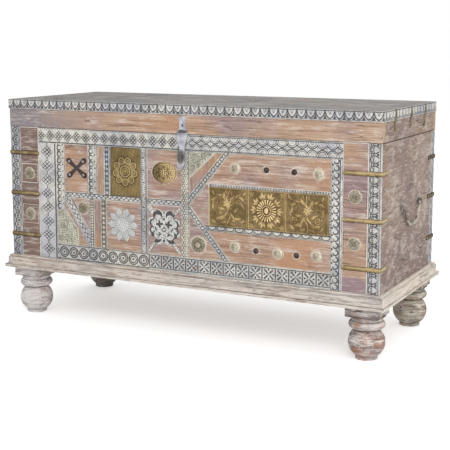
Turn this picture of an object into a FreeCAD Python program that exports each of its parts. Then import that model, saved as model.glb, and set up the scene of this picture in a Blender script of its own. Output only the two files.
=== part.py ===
import FreeCAD, Part
import math
import os

# A dowry chest on four turned feet. The front is covered with carved strips, plain panels and brass.
# Millimetres. X runs along the chest, Y from the front to the back, Z up. The origin is on the
# floor, under the middle of the plinth.

# Case and lid
case_length = 1130.0
case_depth = 450.0
case_height = 377.0
lid_height = 79.0
seam_gap = 0.5
seam_chamfer = 1.5
board_thickness = 22.0
floor_thickness = 18.0
lid_plank_thickness = 18.0
lid_plank_gap = 1.5
lid_plank_edge_shares = (0.0, 0.31, 0.66, 1.0)
lid_strip_height = 27.0
lid_strip_thickness = 3.0

# Feet
foot_inset_x = 47.0
foot_inset_y = 45.0
foot_block_size = 88.0
foot_block_height = 27.0
foot_flare_radius = 48.0
foot_throat_radius = 41.0
foot_throat_height = 13.0
foot_ring_radius = 47.0
foot_ring_root = 38.0
foot_ring_height = 20.0
foot_neck_radius = 32.5
foot_neck_height = 3.0
foot_ball_radius = 47.5
foot_ball_height = 68.0
foot_base_radius = 28.5
foot_base_height = 9.0

# Plinth: a band at the bottom, a cove, a flat and a bead at the top
plinth_outset = 18.0
plinth_seat = 66.0
plinth_band_height = 9.0
plinth_cove_radius = 7.0
plinth_flat_height = 14.0
plinth_chamfer_height = 1.5
plinth_bead_inset = 4.5
plinth_bead_radius = 2.25

# Border of the front
strip_thickness = 7.0
panel_thickness = 4.0
corner_strip_width = 34.0
rear_strip_thickness = 4.0
column_width_left = 65.0
column_width_right = 67.0
lozenge_strip_width = 61.0
scallop_strip_width = 30.0
border_strip_height = 44.0
top_split_share = 0.531
bottom_split_share = 0.364

# Inner field of the front: edges of its columns and rows, as shares of its width and height
column_share = {
    "left": 0.0,
    "cross": 0.0334,
    "block": 0.0846,
    "pearl": 0.1287,
    "beaded": 0.1359,
    "slat_low": 0.1502,
    "slat_high": 0.1633,
    "dotted": 0.1788,
    "scroll": 0.1907,
    "star": 0.1990,
    "plate": 0.2181,
    "rail": 0.3349,
    "medallion": 0.3588,
    "centre": 0.4875,
    "point": 0.5149,
    "relief": 0.5864,
    "relief_end": 0.9928,
    "right": 1.0,
}
row_share = {
    "bottom": 0.0,
    "wood_tip": 0.1384,
    "block_top": 0.1626,
    "scallop": 0.2768,
    "relief": 0.3218,
    "pearl_foot": 0.3529,
    "band_low": 0.4201,
    "scroll_top": 0.4464,
    "rail_low": 0.4775,
    "apex": 0.5017,
    "rail_high": 0.5294,
    "band_high": 0.5827,
    "relief_top": 0.6851,
    "upper": 0.7093,
    "leaf_foot": 0.7474,
    "top": 1.0,
}
scroll_foot_share = 0.1311
scroll_head_share = 0.0560
band_outer_share = 0.6377
band_inner_share = 0.6615
leaf_head_share = 0.6103
relief_seam_shares = (0.5864, 0.7235, 0.8498, 0.9928)

# Metal and carved pieces on the panels. Their sizes are for an inner field of this width and
# height, and they shrink or grow with the field.
field_width_drawn = 839.0
field_height_drawn = 289.0
ornament_thickness = 2.5
cross_centre_share = (0.0822, 0.7716)
cross_length = 82.0
cross_waist_width = 11.0
cross_end_width = 19.0
cross_angles = (37.0, -41.0)
medallion_centre_share = (0.4231, 0.7855)
medallion_width = 74.0
medallion_height = 58.0
star_centre_share = (0.2634, 0.2526)
star_radius = 49.0
star_inner_radius = 37.0
star_points = 10
applique_centre_share = (0.4219, 0.2630)
applique_disc_radius = 24.0
applique_lobe_radius = 12.5
applique_lobe_reach = 30.0
applique_lobes = 8
applique_ribbon_width = 5.0
applique_ribbon_inset = 6.0

# Round bosses and studs
column_boss_radius = 16.5
column_boss_height = 7.0
column_boss_z_shares = (0.331, 0.646)
panel_boss_radius = 14.0
panel_boss_height = 6.0
panel_boss_shares = (
    (0.6794, 0.8685),
    (0.9595, 0.8616),
    (0.6794, 0.1488),
    (0.8260, 0.1246),
    (0.9547, 0.1384),
)
corner_boss_radius = 17.0
corner_boss_share = (0.1070, 0.3830)
sun_boss_radius = 23.0
sun_boss_share = (0.5483, 0.1315)
boss_rim = 1.6
boss_dome_share = 0.86
stud_radius = 7.5
stud_height = 4.0
stud_shares = (
    (0.7855, 0.8685),
    (0.8784, 0.8651),
    (0.7509, 0.1280),
    (0.8880, 0.1246),
)

# Brass straps and nails
strap_width = 12.0
strap_thickness = 1.6
strap_side_length = 56.0
front_strap_z_shares = (0.167, 0.488, 0.801)
rear_strap_length = 64.0
rear_strap_back_length = 44.0
rear_strap_z_shares = (0.207, 0.520, 0.806)
nail_radius = 3.2
nail_height = 2.0
nail_inset = 8.0
lid_strap_width = 10.0
lid_strap_length = 56.0
lid_strap_y_shares = (0.202, 0.487, 0.762)

# Bail handles on the sides
handle_y_share = 0.511
handle_z_share = 0.525
handle_span = 140.0
handle_drop = 51.0
handle_bar_radius = 4.0
handle_bend_radius = 40.0
handle_end_bend_radius = 5.5
handle_side_run_in = 24.0
ear_plate_width = 26.0
ear_plate_height = 40.0
ear_plate_thickness = 2.5
ear_plate_corner = 6.0
ear_standoff = 6.0
ear_lug_width = 7.0
ear_lug_wall = 3.3
ear_pin_overhang = 4.0
ear_side_gap = 0.5
running_clearance = 0.05

# Hinges at the back
hinge_inset = 235.0
hinge_width = 90.0
hinge_knuckle_radius = 5.0
hinge_pin_radius = 2.95
hinge_leaf_thickness = 2.0
hinge_leaf_height = 44.0
hinge_face_gap = 0.5
knuckle_gap = 0.3
pin_head_radius = 4.4
pin_head_length = 2.0

# Hasp and staple at the front
hasp_plate_width = 25.0
hasp_plate_waist = 17.0
hasp_plate_height = 39.0
hasp_plate_rise = 5.0
hasp_metal = 2.4
hasp_knuckle_radius = 3.0
hasp_pin_radius = 1.5
hasp_pin_head_radius = 2.6
hasp_pivot_height = 4.0
hasp_face_gap = 0.3
hasp_head_width = 31.0
hasp_middle_knuckle = 11.0
hasp_arm_width = 21.0
hasp_shoulder_start = 10.0
hasp_shoulder_end = 30.0
hasp_arm_length = 98.0
hasp_tail_start = 88.0
hasp_tail_width = 8.0
hasp_slot_start = 54.0
hasp_slot_end = 85.0
hasp_slot_width = 7.0
hasp_rest_tilt = 8.0
staple_edge_gap = 4.4
staple_wire_radius = 1.4
staple_spacing = 16.0
staple_reach = 10.0
staple_depth = 15.0
staple_bend_radius = 4.0
staple_drop = 69.0

overrun = 5.0

# Levels and faces that follow from the sizes above
foot_base_z = foot_base_height
foot_ball_z = foot_base_z + foot_ball_height
foot_neck_z = foot_ball_z + foot_neck_height
foot_ring_z = foot_neck_z + foot_ring_height
foot_throat_z = foot_ring_z + foot_throat_height
foot_height = foot_throat_z + foot_block_height
plinth_flat_reach = plinth_outset - plinth_cove_radius
plinth_cove_z = plinth_band_height + plinth_cove_radius
plinth_flat_z = plinth_cove_z + plinth_flat_height
plinth_bead_z = plinth_flat_z + plinth_chamfer_height
plinth_height = plinth_bead_z + 2 * plinth_bead_radius
case_z = foot_height + plinth_height
rim_z = case_z + case_height
lid_z = rim_z + seam_gap
lid_top_z = rim_z + lid_height
half_length = case_length / 2
front_y = -case_depth / 2
back_y = case_depth / 2
ground_y = front_y + strip_thickness
panel_y = ground_y - panel_thickness
inner_front_y = ground_y + board_thickness
inner_back_y = back_y - board_thickness
inner_x = half_length - board_thickness

# Edges of the front's border, from left to right and from the bottom to the top
column_left_x = -half_length + corner_strip_width
lozenge_x = column_left_x + column_width_left
field_x = lozenge_x + lozenge_strip_width
column_right_end_x = half_length - corner_strip_width
column_right_x = column_right_end_x - column_width_right
field_end_x = column_right_x - scallop_strip_width
field_z = case_z + border_strip_height
field_end_z = rim_z - border_strip_height
field_width = field_end_x - field_x
field_height = field_end_z - field_z
top_split_x = lozenge_x + top_split_share * (column_right_x - lozenge_x)
bottom_split_x = field_x + bottom_split_share * field_width


def point(x, y, z):
    return FreeCAD.Vector(x, y, z)


def block(x0, x1, y0, y1, z0, z1):
    """A block between two corners."""
    return Part.makeBox(x1 - x0, y1 - y0, z1 - z0, point(x0, y0, z0))


def group(solids):
    """Separate solids that share one node."""
    return Part.makeCompound(solids)


def prism(corners, direction):
    """A flat outline pushed along a direction."""
    return Part.Face(Part.makePolygon(corners + corners[:1])).extrude(direction)


def plate(outline, back, thickness):
    """A flat piece of the front, from its (x, z) outline, that stands forward of y = back."""
    return prism([point(x, back, z) for x, z in outline], point(0, -thickness, 0))


def rectangle(x0, x1, z0, z1):
    return [(x0, z0), (x1, z0), (x1, z1), (x0, z1)]


def in_field(x_share, z_share):
    """A place in the front's inner field."""
    return (field_x + x_share * field_width, field_z + z_share * field_height)


def corner(column, row):
    """Where a column edge and a row edge of the inner field cross."""
    return in_field(column_share[column], row_share[row])


def fitted(length):
    """A size drawn for the field as it was drawn, at the size of this field."""
    return length * min(field_width / field_width_drawn, field_height / field_height_drawn)


def bay(column, next_column, row, next_row):
    """The rectangle between two column edges and two row edges of the inner field."""
    x0, z0 = corner(column, row)
    x1, z1 = corner(next_column, next_row)
    return rectangle(x0, x1, z0, z1)


def level_with(start, end, row):
    """The point of a slanted line that lies at the height of a row edge."""
    z = in_field(0, row_share[row])[1]
    along = (z - start[1]) / (end[1] - start[1])
    return (start[0] + along * (end[0] - start[0]), z)


def bar(outline):
    """A carved strip of the front."""
    return plate(outline, ground_y, strip_thickness)


def board(outline):
    """A plain panel of the front, set back a little from the carved strips."""
    return plate(outline, ground_y, panel_thickness)


def turned(edges):
    """A solid of revolution about Z from the edges of its half section."""
    section = Part.Face(Part.Wire(edges))
    return section.revolve(point(0, 0, 0), point(0, 0, 1), 360)


def line(a, b):
    return Part.LineSegment(point(a[0], 0, a[1]), point(b[0], 0, b[1])).toShape()


def arc(a, b, c):
    start, middle, end = [point(p[0], 0, p[1]) for p in (a, b, c)]
    return Part.Arc(start, middle, end).toShape()


def chain(points):
    """Straight edges through (radius, height) points."""
    return [line(a, b) for a, b in zip(points, points[1:])]


def facing_front(shape, x, y, z):
    """A piece made upright on the origin, turned to face the front and set in place."""
    placed = shape.copy()
    placed.rotate(point(0, 0, 0), point(1, 0, 0), 90)
    placed.translate(point(x, y, z))
    return placed


def facing_side(shape, side, x, y, z):
    """A piece made upright on the origin, turned to face outward at the right (1) or left (-1)."""
    placed = shape.copy()
    placed.rotate(point(0, 0, 0), point(0, 1, 0), side * 90)
    placed.translate(point(side * x, y, z))
    return placed


def facing_back(shape, x, y, z):
    """A piece made upright on the origin, turned to face the back and set in place."""
    placed = shape.copy()
    placed.rotate(point(0, 0, 0), point(1, 0, 0), -90)
    placed.translate(point(x, y, z))
    return placed


def mirrored(shape):
    """The same piece at the other end of the chest."""
    return shape.mirror(point(0, 0, 0), point(1, 0, 0))


def dome(radius, height, rim):
    """A round head: a rim and a spherical cap that rises from it."""
    cap = radius * boss_dome_share
    rise = height - rim
    ball = (cap ** 2 + rise ** 2) / (2 * rise)
    half = math.asin(cap / ball) / 2
    middle = (ball * math.sin(half), height - ball + ball * math.cos(half))
    edges = chain([(0, height), (0, 0), (radius, 0), (radius, rim), (cap, rim)])
    edges.append(arc((cap, rim), middle, (0, height)))
    return turned(edges)


def nail():
    return dome(nail_radius, nail_height, nail_height / 3)


def rod(corners, bends, radius):
    """A round bar through corner points, with an arc at each bend."""
    edges = []
    start = corners[0]
    for before, here, after, bend in zip(corners, corners[1:], corners[2:], bends):
        back = (before - here).normalize()
        ahead = (after - here).normalize()
        half = back.getAngle(ahead) / 2
        leave = here + back * (bend / math.tan(half))
        meet = here + ahead * (bend / math.tan(half))
        bisector = (back + ahead).normalize()
        middle = here + bisector * (bend / math.sin(half) - bend)
        edges.append(Part.LineSegment(start, leave).toShape())
        edges.append(Part.Arc(leave, middle, meet).toShape())
        start = meet
    edges.append(Part.LineSegment(start, corners[-1]).toShape())
    path = Part.Wire(edges)
    direction = corners[1] - corners[0]
    ring = Part.Wire(Part.makeCircle(radius, corners[0], direction))
    return path.makePipeShell([ring], True, False)


def front_board():
    whole = block(-half_length, half_length, ground_y, inner_front_y, case_z, rim_z)
    return whole.cut(hasp_staple())


def back_board():
    reach = half_length - rear_strip_thickness
    return block(-reach, reach, inner_back_y, back_y, case_z, rim_z)


def rear_strip():
    start = back_y - corner_strip_width
    return block(half_length - rear_strip_thickness, half_length, start, back_y, case_z, rim_z)


def right_board():
    """The side board ends at the back board, and is rebated for the rear carved strip."""
    whole = block(inner_x, half_length, inner_front_y, inner_back_y, case_z, rim_z)
    return whole.cut(rear_strip())


def floor_board():
    top = case_z + floor_thickness
    return block(-inner_x, inner_x, inner_front_y, inner_back_y, case_z, top)


def plinth_rail(half_run, half_reach):
    """The front rail of a plinth: its moulded section, mitred at both ends."""
    root_reach = plinth_flat_reach - plinth_bead_inset
    slant = math.sqrt(0.5)
    cove_middle = (
        plinth_outset - plinth_cove_radius * slant,
        plinth_cove_z - plinth_cove_radius * slant,
    )
    bead_middle = (root_reach + plinth_bead_radius, plinth_bead_z + plinth_bead_radius)
    edges = chain([
        (root_reach, plinth_height),
        (-plinth_seat, plinth_height),
        (-plinth_seat, 0),
        (plinth_outset, 0),
        (plinth_outset, plinth_band_height),
    ])
    edges.append(arc(
        (plinth_outset, plinth_band_height), cove_middle, (plinth_flat_reach, plinth_cove_z)
    ))
    edges += chain([
        (plinth_flat_reach, plinth_cove_z),
        (plinth_flat_reach, plinth_flat_z),
        (root_reach, plinth_bead_z),
    ])
    edges.append(arc((root_reach, plinth_bead_z), bead_middle, (root_reach, plinth_height)))
    section = Part.Face(Part.Wire(edges))
    section.rotate(point(0, 0, 0), point(0, 0, 1), -90)
    section.translate(point(-half_run, plinth_outset - half_reach, foot_height))
    rail = section.extrude(point(2 * half_run, 0, 0))
    width = plinth_outset + plinth_seat
    mitre = prism(
        [
            point(-half_run, -half_reach, foot_height),
            point(half_run, -half_reach, foot_height),
            point(half_run - width, width - half_reach, foot_height),
            point(width - half_run, width - half_reach, foot_height),
        ],
        point(0, 0, plinth_height),
    )
    return rail.common(mitre)


def plinth(quarter_turns):
    """One rail of the plinth, counted from the front."""
    reach = (half_length + plinth_outset, back_y + plinth_outset)
    half_run, half_reach = reach if quarter_turns % 2 == 0 else reach[::-1]
    rail = plinth_rail(half_run, half_reach)
    rail.rotate(point(0, 0, 0), point(0, 0, 1), 90 * quarter_turns)
    return rail


def foot(side_x, side_y):
    """A turned foot: base, ball, neck, ring and flare, with a square block on top."""
    ball_middle = (foot_ball_radius, foot_base_z + foot_ball_height / 2)
    ring_middle = (foot_ring_radius, foot_neck_z + foot_ring_height / 2)
    throat_middle = (foot_throat_radius, foot_ring_z + foot_throat_height / 2)
    edges = chain([(0, foot_throat_z), (0, 0), (foot_base_radius, 0), (foot_base_radius, foot_base_z)])
    edges.append(arc((foot_base_radius, foot_base_z), ball_middle, (foot_neck_radius, foot_ball_z)))
    edges += chain([
        (foot_neck_radius, foot_ball_z),
        (foot_neck_radius, foot_neck_z),
        (foot_ring_root, foot_neck_z),
    ])
    edges.append(arc((foot_ring_root, foot_neck_z), ring_middle, (foot_throat_radius, foot_ring_z)))
    edges.append(arc((foot_throat_radius, foot_ring_z), throat_middle, (foot_flare_radius, foot_throat_z)))
    edges.append(line((foot_flare_radius, foot_throat_z), (0, foot_throat_z)))
    half = foot_block_size / 2
    top = block(-half, half, -half, half, foot_throat_z, foot_height)
    whole = turned(edges).fuse(top).removeSplitter()
    whole.translate(point(side_x * (half_length - foot_inset_x), side_y * (back_y - foot_inset_y), 0))
    return whole


def corner_strips():
    """Two carved strips at the front corners and two at the rear ends of the sides."""
    left = bar(rectangle(-half_length, column_left_x, case_z, rim_z))
    right = bar(rectangle(column_right_end_x, half_length, case_z, rim_z))
    return group([left, right, rear_strip(), mirrored(rear_strip())])


def column_panels():
    """The wood columns beside the corner strips, level with them."""
    left = bar(rectangle(column_left_x, lozenge_x, case_z, rim_z))
    right = bar(rectangle(column_right_x, column_right_end_x, case_z, rim_z))
    return group([left, right])


def strip_lozenge_left():
    return bar(rectangle(lozenge_x, field_x, case_z, field_end_z))


def strip_lozenge_top():
    return bar(rectangle(lozenge_x, top_split_x, field_end_z, rim_z))


def strip_lattice_top():
    return bar(rectangle(top_split_x, column_right_x, field_end_z, rim_z))


def strip_scallop_right():
    return bar(rectangle(field_end_x, column_right_x, case_z, field_end_z))


def strip_circles_bottom():
    return bar(rectangle(field_x, bottom_split_x, case_z, field_z))


def strip_blocks_bottom():
    return bar(rectangle(bottom_split_x, field_end_x, case_z, field_z))


def strips_pearl():
    """The first strip ends on the foliage panel, the second on the rail."""
    first = bar(bay("left", "cross", "pearl_foot", "top"))
    second = bar(bay("pearl", "slat_high", "rail_high", "top"))
    return group([first, second])


def strips_scroll():
    """The upright scroll strip, the tall strip beside the plate, and the slanted one."""
    upright = bar(bay("scroll", "plate", "rail_high", "top"))
    tall = bar(bay("rail", "medallion", "bottom", "top"))
    slanted = bar([
        corner("cross", "scroll_top"),
        in_field(scroll_foot_share, row_share["bottom"]),
        corner("beaded", "bottom"),
        corner("beaded", "wood_tip"),
        in_field(scroll_head_share, row_share["rail_low"]),
        corner("cross", "rail_low"),
    ])
    return group([upright, tall, slanted])


def strips_beaded():
    beaded = bar(bay("beaded", "slat_low", "bottom", "rail_low"))
    dotted = bar(bay("dotted", "star", "bottom", "rail_low"))
    return group([beaded, dotted])


def strip_double_pearl():
    """The strip under the hasp. The staple's legs are driven through it."""
    return bar(bay("centre", "point", "bottom", "top")).cut(hasp_staple())


def strips_diagonal():
    """Two bands that meet at the apex, one going up and one going down."""
    apex = corner("point", "apex")
    upper = bar([
        apex,
        in_field(band_inner_share, row_share["top"]),
        in_field(band_outer_share, row_share["top"]),
        corner("point", "band_high"),
    ])
    lower = bar([
        apex,
        corner("point", "band_low"),
        in_field(band_outer_share, row_share["bottom"]),
        in_field(band_inner_share, row_share["bottom"]),
    ])
    return group([upper, lower])


def band_edge(row):
    """A point on the inner edge of a diagonal band, at the height of a row edge."""
    end_row = "top" if row_share[row] > row_share["apex"] else "bottom"
    end = in_field(band_inner_share, row_share[end_row])
    return level_with(corner("point", "apex"), end, row)


def rail_scallop():
    return bar([
        band_edge("scallop"),
        corner("right", "scallop"),
        corner("right", "relief"),
        band_edge("relief"),
    ])


def slats_plain():
    """Plain slats and rails between the carved pieces."""
    upright = board(bay("slat_high", "scroll", "rail_high", "top"))
    lower = board(bay("slat_low", "dotted", "bottom", "rail_low"))
    rail_left = board(bay("cross", "rail", "rail_low", "rail_high"))
    rail_right = board(bay("medallion", "centre", "rail_low", "rail_high"))
    slanted = board([
        corner("point", "band_high"),
        in_field(band_outer_share, row_share["top"]),
        in_field(leaf_head_share, row_share["top"]),
        corner("point", "leaf_foot"),
    ])
    border = board([
        corner("relief", "relief_top"),
        corner("relief_end", "relief_top"),
        corner("relief_end", "relief"),
        corner("right", "relief"),
        corner("right", "upper"),
        corner("relief", "upper"),
    ])
    return group([upright, lower, rail_left, rail_right, slanted, border])


def square_panels():
    """The plain panels behind the cross, the medallion, the star and the foliage."""
    cross = board(bay("cross", "pearl", "rail_high", "top"))
    medallion = board(bay("medallion", "centre", "rail_high", "top"))
    star = board(bay("star", "rail", "bottom", "rail_low"))
    foliage = board(bay("medallion", "centre", "bottom", "rail_low"))
    return group([cross, medallion, star, foliage])


def corner_panels():
    """Plain triangles and wedges beside the slanted strips."""
    beside_scroll = board([
        corner("cross", "pearl_foot"),
        corner("block", "block_top"),
        corner("block", "bottom"),
        in_field(scroll_foot_share, row_share["bottom"]),
        corner("cross", "scroll_top"),
    ])
    over_scroll = board([
        in_field(scroll_head_share, row_share["rail_low"]),
        corner("beaded", "wood_tip"),
        corner("beaded", "rail_low"),
    ])
    under_band = board([
        corner("point", "bottom"),
        in_field(band_outer_share, row_share["bottom"]),
        corner("point", "band_low"),
    ])
    in_the_point = board([
        corner("point", "apex"),
        band_edge("relief"),
        corner("relief", "relief"),
        corner("relief", "upper"),
        band_edge("upper"),
    ])
    return group([beside_scroll, over_scroll, under_band, in_the_point])


def trapezoid_panels():
    upper = board([
        band_edge("upper"),
        corner("right", "upper"),
        corner("right", "top"),
        in_field(band_inner_share, row_share["top"]),
    ])
    lower = board([
        in_field(band_inner_share, row_share["bottom"]),
        corner("right", "bottom"),
        corner("right", "scallop"),
        band_edge("scallop"),
    ])
    return group([upper, lower])


def foliage_panels():
    """Carved foliage: a pentagon at the lower left and a triangle at the upper middle."""
    pentagon = board([
        corner("left", "bottom"),
        corner("block", "bottom"),
        corner("block", "block_top"),
        corner("cross", "pearl_foot"),
        corner("left", "pearl_foot"),
    ])
    triangle = board([
        corner("point", "leaf_foot"),
        in_field(leaf_head_share, row_share["top"]),
        corner("point", "top"),
    ])
    return group([pentagon, triangle])


def brass_rosette_plate():
    return board(bay("plate", "rail", "rail_high", "top"))


def brass_relief_plates():
    """Three plates in a row."""
    z0 = in_field(0, row_share["relief"])[1]
    z1 = in_field(0, row_share["relief_top"])[1]
    edges = [in_field(share, 0)[0] for share in relief_seam_shares]
    return group([board(rectangle(x0, x1, z0, z1)) for x0, x1 in zip(edges, edges[1:])])


def iron_cross():
    """Two flared bars across each other."""
    x, z = in_field(*cross_centre_share)
    half = fitted(cross_length / 2)
    end = fitted(cross_end_width / 2)
    waist = fitted(cross_waist_width / 2)
    outline = [
        (-half, -end),
        (0, -waist),
        (half, -end),
        (half, end),
        (0, waist),
        (-half, end),
    ]
    bars = []
    for angle in cross_angles:
        arm = plate(outline, 0, ornament_thickness)
        arm.rotate(point(0, 0, 0), point(0, 1, 0), angle)
        bars.append(arm)
    whole = bars[0].fuse(bars[1]).removeSplitter()
    whole.translate(point(x, panel_y, z))
    return whole


def oval_medallion():
    x, z = in_field(*medallion_centre_share)
    oval = Part.Ellipse(point(0, 0, 0), fitted(medallion_width / 2), fitted(medallion_height / 2))
    solid = Part.Face(Part.Wire(oval.toShape())).extrude(point(0, 0, ornament_thickness))
    return facing_front(solid, x, panel_y, z)


def star_applique():
    x, z = in_field(*star_centre_share)
    outline = []
    for step in range(2 * star_points):
        reach = fitted(star_inner_radius if step % 2 else star_radius)
        angle = math.pi * step / star_points
        outline.append((x + reach * math.sin(angle), z + reach * math.cos(angle)))
    return plate(outline, panel_y, ornament_thickness)


def foliage_applique():
    """A lobed disc, with ribbons that run to the corners of its panel."""
    x, z = in_field(*applique_centre_share)
    x0, z0 = corner("medallion", "bottom")
    x1, z1 = corner("centre", "rail_low")
    reach = fitted(applique_lobe_reach)
    disc = Part.makeCylinder(fitted(applique_disc_radius), ornament_thickness)
    for step in range(applique_lobes):
        angle = 2 * math.pi * (step + 0.5) / applique_lobes
        centre = point(reach * math.cos(angle), reach * math.sin(angle), 0)
        disc = disc.fuse(Part.makeCylinder(fitted(applique_lobe_radius), ornament_thickness, centre))
    half = applique_ribbon_width / 2
    for end_x, end_z in ((x0, z0), (x1, z0), (x1, z1), (x0, z1)):
        length = math.hypot(end_x - x, end_z - z) - applique_ribbon_inset
        ribbon = block(0, length, -half, half, 0, ornament_thickness)
        ribbon.rotate(point(0, 0, 0), point(0, 0, 1), math.degrees(math.atan2(end_z - z, end_x - x)))
        disc = disc.fuse(ribbon)
    return facing_front(disc.removeSplitter(), x, panel_y, z)


def brass_bosses():
    """Round embossed heads on the columns and on the panels."""
    bosses = []
    left_x = (column_left_x + lozenge_x) / 2
    right_x = (column_right_x + column_right_end_x) / 2
    for share in column_boss_z_shares:
        z = case_z + share * case_height
        for x in (left_x, right_x):
            head = dome(column_boss_radius, column_boss_height, boss_rim)
            bosses.append(facing_front(head, x, front_y, z))
    places = [(share, panel_boss_radius) for share in panel_boss_shares]
    places += [(corner_boss_share, corner_boss_radius), (sun_boss_share, sun_boss_radius)]
    for share, radius in places:
        x, z = in_field(*share)
        head = dome(fitted(radius), panel_boss_height, boss_rim)
        bosses.append(facing_front(head, x, panel_y, z))
    return group(bosses)


def iron_studs():
    studs = []
    for share in stud_shares:
        x, z = in_field(*share)
        head = dome(fitted(stud_radius), stud_height, boss_rim / 2)
        studs.append(facing_front(head, x, panel_y, z))
    return group(studs)


def front_strap(z, start):
    """A strap from the inner edge of a column, round the front corner and along the side."""
    outer = half_length + strap_thickness
    end = front_y + strap_side_length
    outline = [
        (start, front_y),
        (half_length, front_y),
        (half_length, end),
        (outer, end),
        (outer, front_y - strap_thickness),
        (start, front_y - strap_thickness),
    ]
    corners = [point(x, y, z - strap_width / 2) for x, y in outline]
    return prism(corners, point(0, 0, strap_width))


def rear_strap(z):
    """A strap along the side, round the rear corner and along the back."""
    outer = half_length + strap_thickness
    start = back_y - rear_strap_length
    back_end = half_length - rear_strap_back_length
    outline = [
        (half_length, start),
        (half_length, back_y),
        (back_end, back_y),
        (back_end, back_y + strap_thickness),
        (outer, back_y + strap_thickness),
        (outer, start),
    ]
    corners = [point(x, y, z - strap_width / 2) for x, y in outline]
    return prism(corners, point(0, 0, strap_width))


def front_strap_levels():
    return [case_z + share * case_height for share in front_strap_z_shares]


def rear_strap_levels():
    return [case_z + share * case_height for share in rear_strap_z_shares]


def corner_straps():
    straps = []
    for z in front_strap_levels():
        straps.append(front_strap(z, column_right_x))
        straps.append(mirrored(front_strap(z, -lozenge_x)))
    for z in rear_strap_levels():
        straps.append(rear_strap(z))
        straps.append(mirrored(rear_strap(z)))
    return group(straps)


def strap_nails():
    """Nails at the ends of the corner straps and beside the corners."""
    nails = []
    face_y = front_y - strap_thickness
    face_x = half_length + strap_thickness
    corner_x = half_length - corner_strip_width / 2
    for z in front_strap_levels():
        for x in (lozenge_x - nail_inset, -corner_x, corner_x, column_right_x + nail_inset):
            nails.append(facing_front(nail(), x, face_y, z))
        for side in (-1, 1):
            nails.append(facing_side(nail(), side, face_x, front_y + strap_side_length - nail_inset, z))
    for z in rear_strap_levels():
        for side in (-1, 1):
            start = back_y - rear_strap_length + nail_inset
            nails.append(facing_side(nail(), side, face_x, start, z))
            nails.append(facing_side(nail(), side, face_x, back_y - corner_strip_width / 2, z))
            back_x = side * (half_length - rear_strap_back_length + nail_inset)
            nails.append(facing_back(nail(), back_x, back_y + strap_thickness, z))
    return group(nails)


handle_y = front_y + handle_y_share * case_depth
handle_z = case_z + handle_z_share * case_height
handle_x = half_length + ear_plate_thickness + ear_standoff


def ear(y):
    """A plate on the side with a bored lug that holds one end of a bail."""
    half_w = ear_plate_width / 2
    half_h = ear_plate_height / 2
    back = block(
        half_length,
        half_length + ear_plate_thickness,
        y - half_w,
        y + half_w,
        handle_z - half_h,
        handle_z + half_h,
    )
    upright = [edge for edge in back.Edges if edge.BoundBox.XLength > ear_plate_thickness / 2]
    back = back.makeFillet(ear_plate_corner, upright)
    bore = handle_bar_radius + running_clearance
    eye_radius = bore + ear_lug_wall
    y0 = y - ear_lug_width / 2
    eye = Part.makeCylinder(eye_radius, ear_lug_width, point(handle_x, y0, handle_z), point(0, 1, 0))
    web = block(half_length, handle_x, y0, y0 + ear_lug_width, handle_z - eye_radius, handle_z + eye_radius)
    hole = Part.makeCylinder(
        bore,
        ear_lug_width + 2 * overrun,
        point(handle_x, y0 - overrun, handle_z),
        point(0, 1, 0),
    )
    keep = block(half_length, handle_x + eye_radius, y - half_w, y + half_w, 0, lid_top_z)
    return back.fuse([eye, web]).removeSplitter().common(keep).cut(hole)


def handle_ears():
    ears = []
    for y in (handle_y - handle_span / 2, handle_y + handle_span / 2):
        ears.append(ear(y))
        ears.append(mirrored(ear(y)))
    return group(ears)


def handle_right():
    """A round bail. Its ends turn outward through the lugs."""
    lug = ear_lug_width / 2
    ear_y = handle_span / 2
    end_y = ear_y + lug + ear_pin_overhang
    side_y = ear_y - lug - ear_side_gap - handle_bar_radius
    low_y = side_y - handle_side_run_in
    low_z = handle_z - handle_drop
    corners = [
        point(handle_x, handle_y - end_y, handle_z),
        point(handle_x, handle_y - side_y, handle_z),
        point(handle_x, handle_y - low_y, low_z),
        point(handle_x, handle_y + low_y, low_z),
        point(handle_x, handle_y + side_y, handle_z),
        point(handle_x, handle_y + end_y, handle_z),
    ]
    bends = (handle_end_bend_radius, handle_bend_radius, handle_bend_radius, handle_end_bend_radius)
    return rod(corners, bends, handle_bar_radius)


def knuckle(x0, x1, y, z, radius):
    return Part.makeCylinder(radius, x1 - x0, point(x0, y, z), point(1, 0, 0))


def hinge_places():
    reach = half_length - hinge_inset
    return (-reach, reach)


hinge_y = back_y + hinge_face_gap + hinge_knuckle_radius
hinge_z = rim_z + seam_gap / 2


def hinge_leaf(x, rise, spans):
    """One leaf of a butt hinge: a plate below (-1) or above (1) the axis, with its knuckles."""
    half = hinge_width / 2
    near = hinge_z + rise * (hinge_knuckle_radius + hinge_face_gap)
    far = near + rise * hinge_leaf_height
    face = back_y + hinge_leaf_thickness
    whole = block(x - half, x + half, back_y, face, min(near, far), max(near, far))
    for x0, x1 in spans:
        tab = block(x + x0, x + x1, back_y, face, min(hinge_z, near), max(hinge_z, near))
        barrel = knuckle(x + x0, x + x1, hinge_y, hinge_z, hinge_knuckle_radius)
        whole = whole.fuse([tab, barrel])
    bore = hinge_pin_radius + running_clearance
    hole = knuckle(x - half - overrun, x + half + overrun, hinge_y, hinge_z, bore)
    return whole.removeSplitter().cut(hole)


def knuckle_spans():
    """The ends of the outer knuckles and of the middle one, along the hinge."""
    half = hinge_width / 2
    inner = hinge_width / 6
    gap = knuckle_gap / 2
    outer = [(-half, -inner - gap), (inner + gap, half)]
    return outer, [(-inner + gap, inner - gap)]


def hinge_case_leaves():
    return group([hinge_leaf(x, -1, knuckle_spans()[0]) for x in hinge_places()])


def hinge_lid_leaves():
    return group([hinge_leaf(x, 1, knuckle_spans()[1]) for x in hinge_places()])


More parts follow.
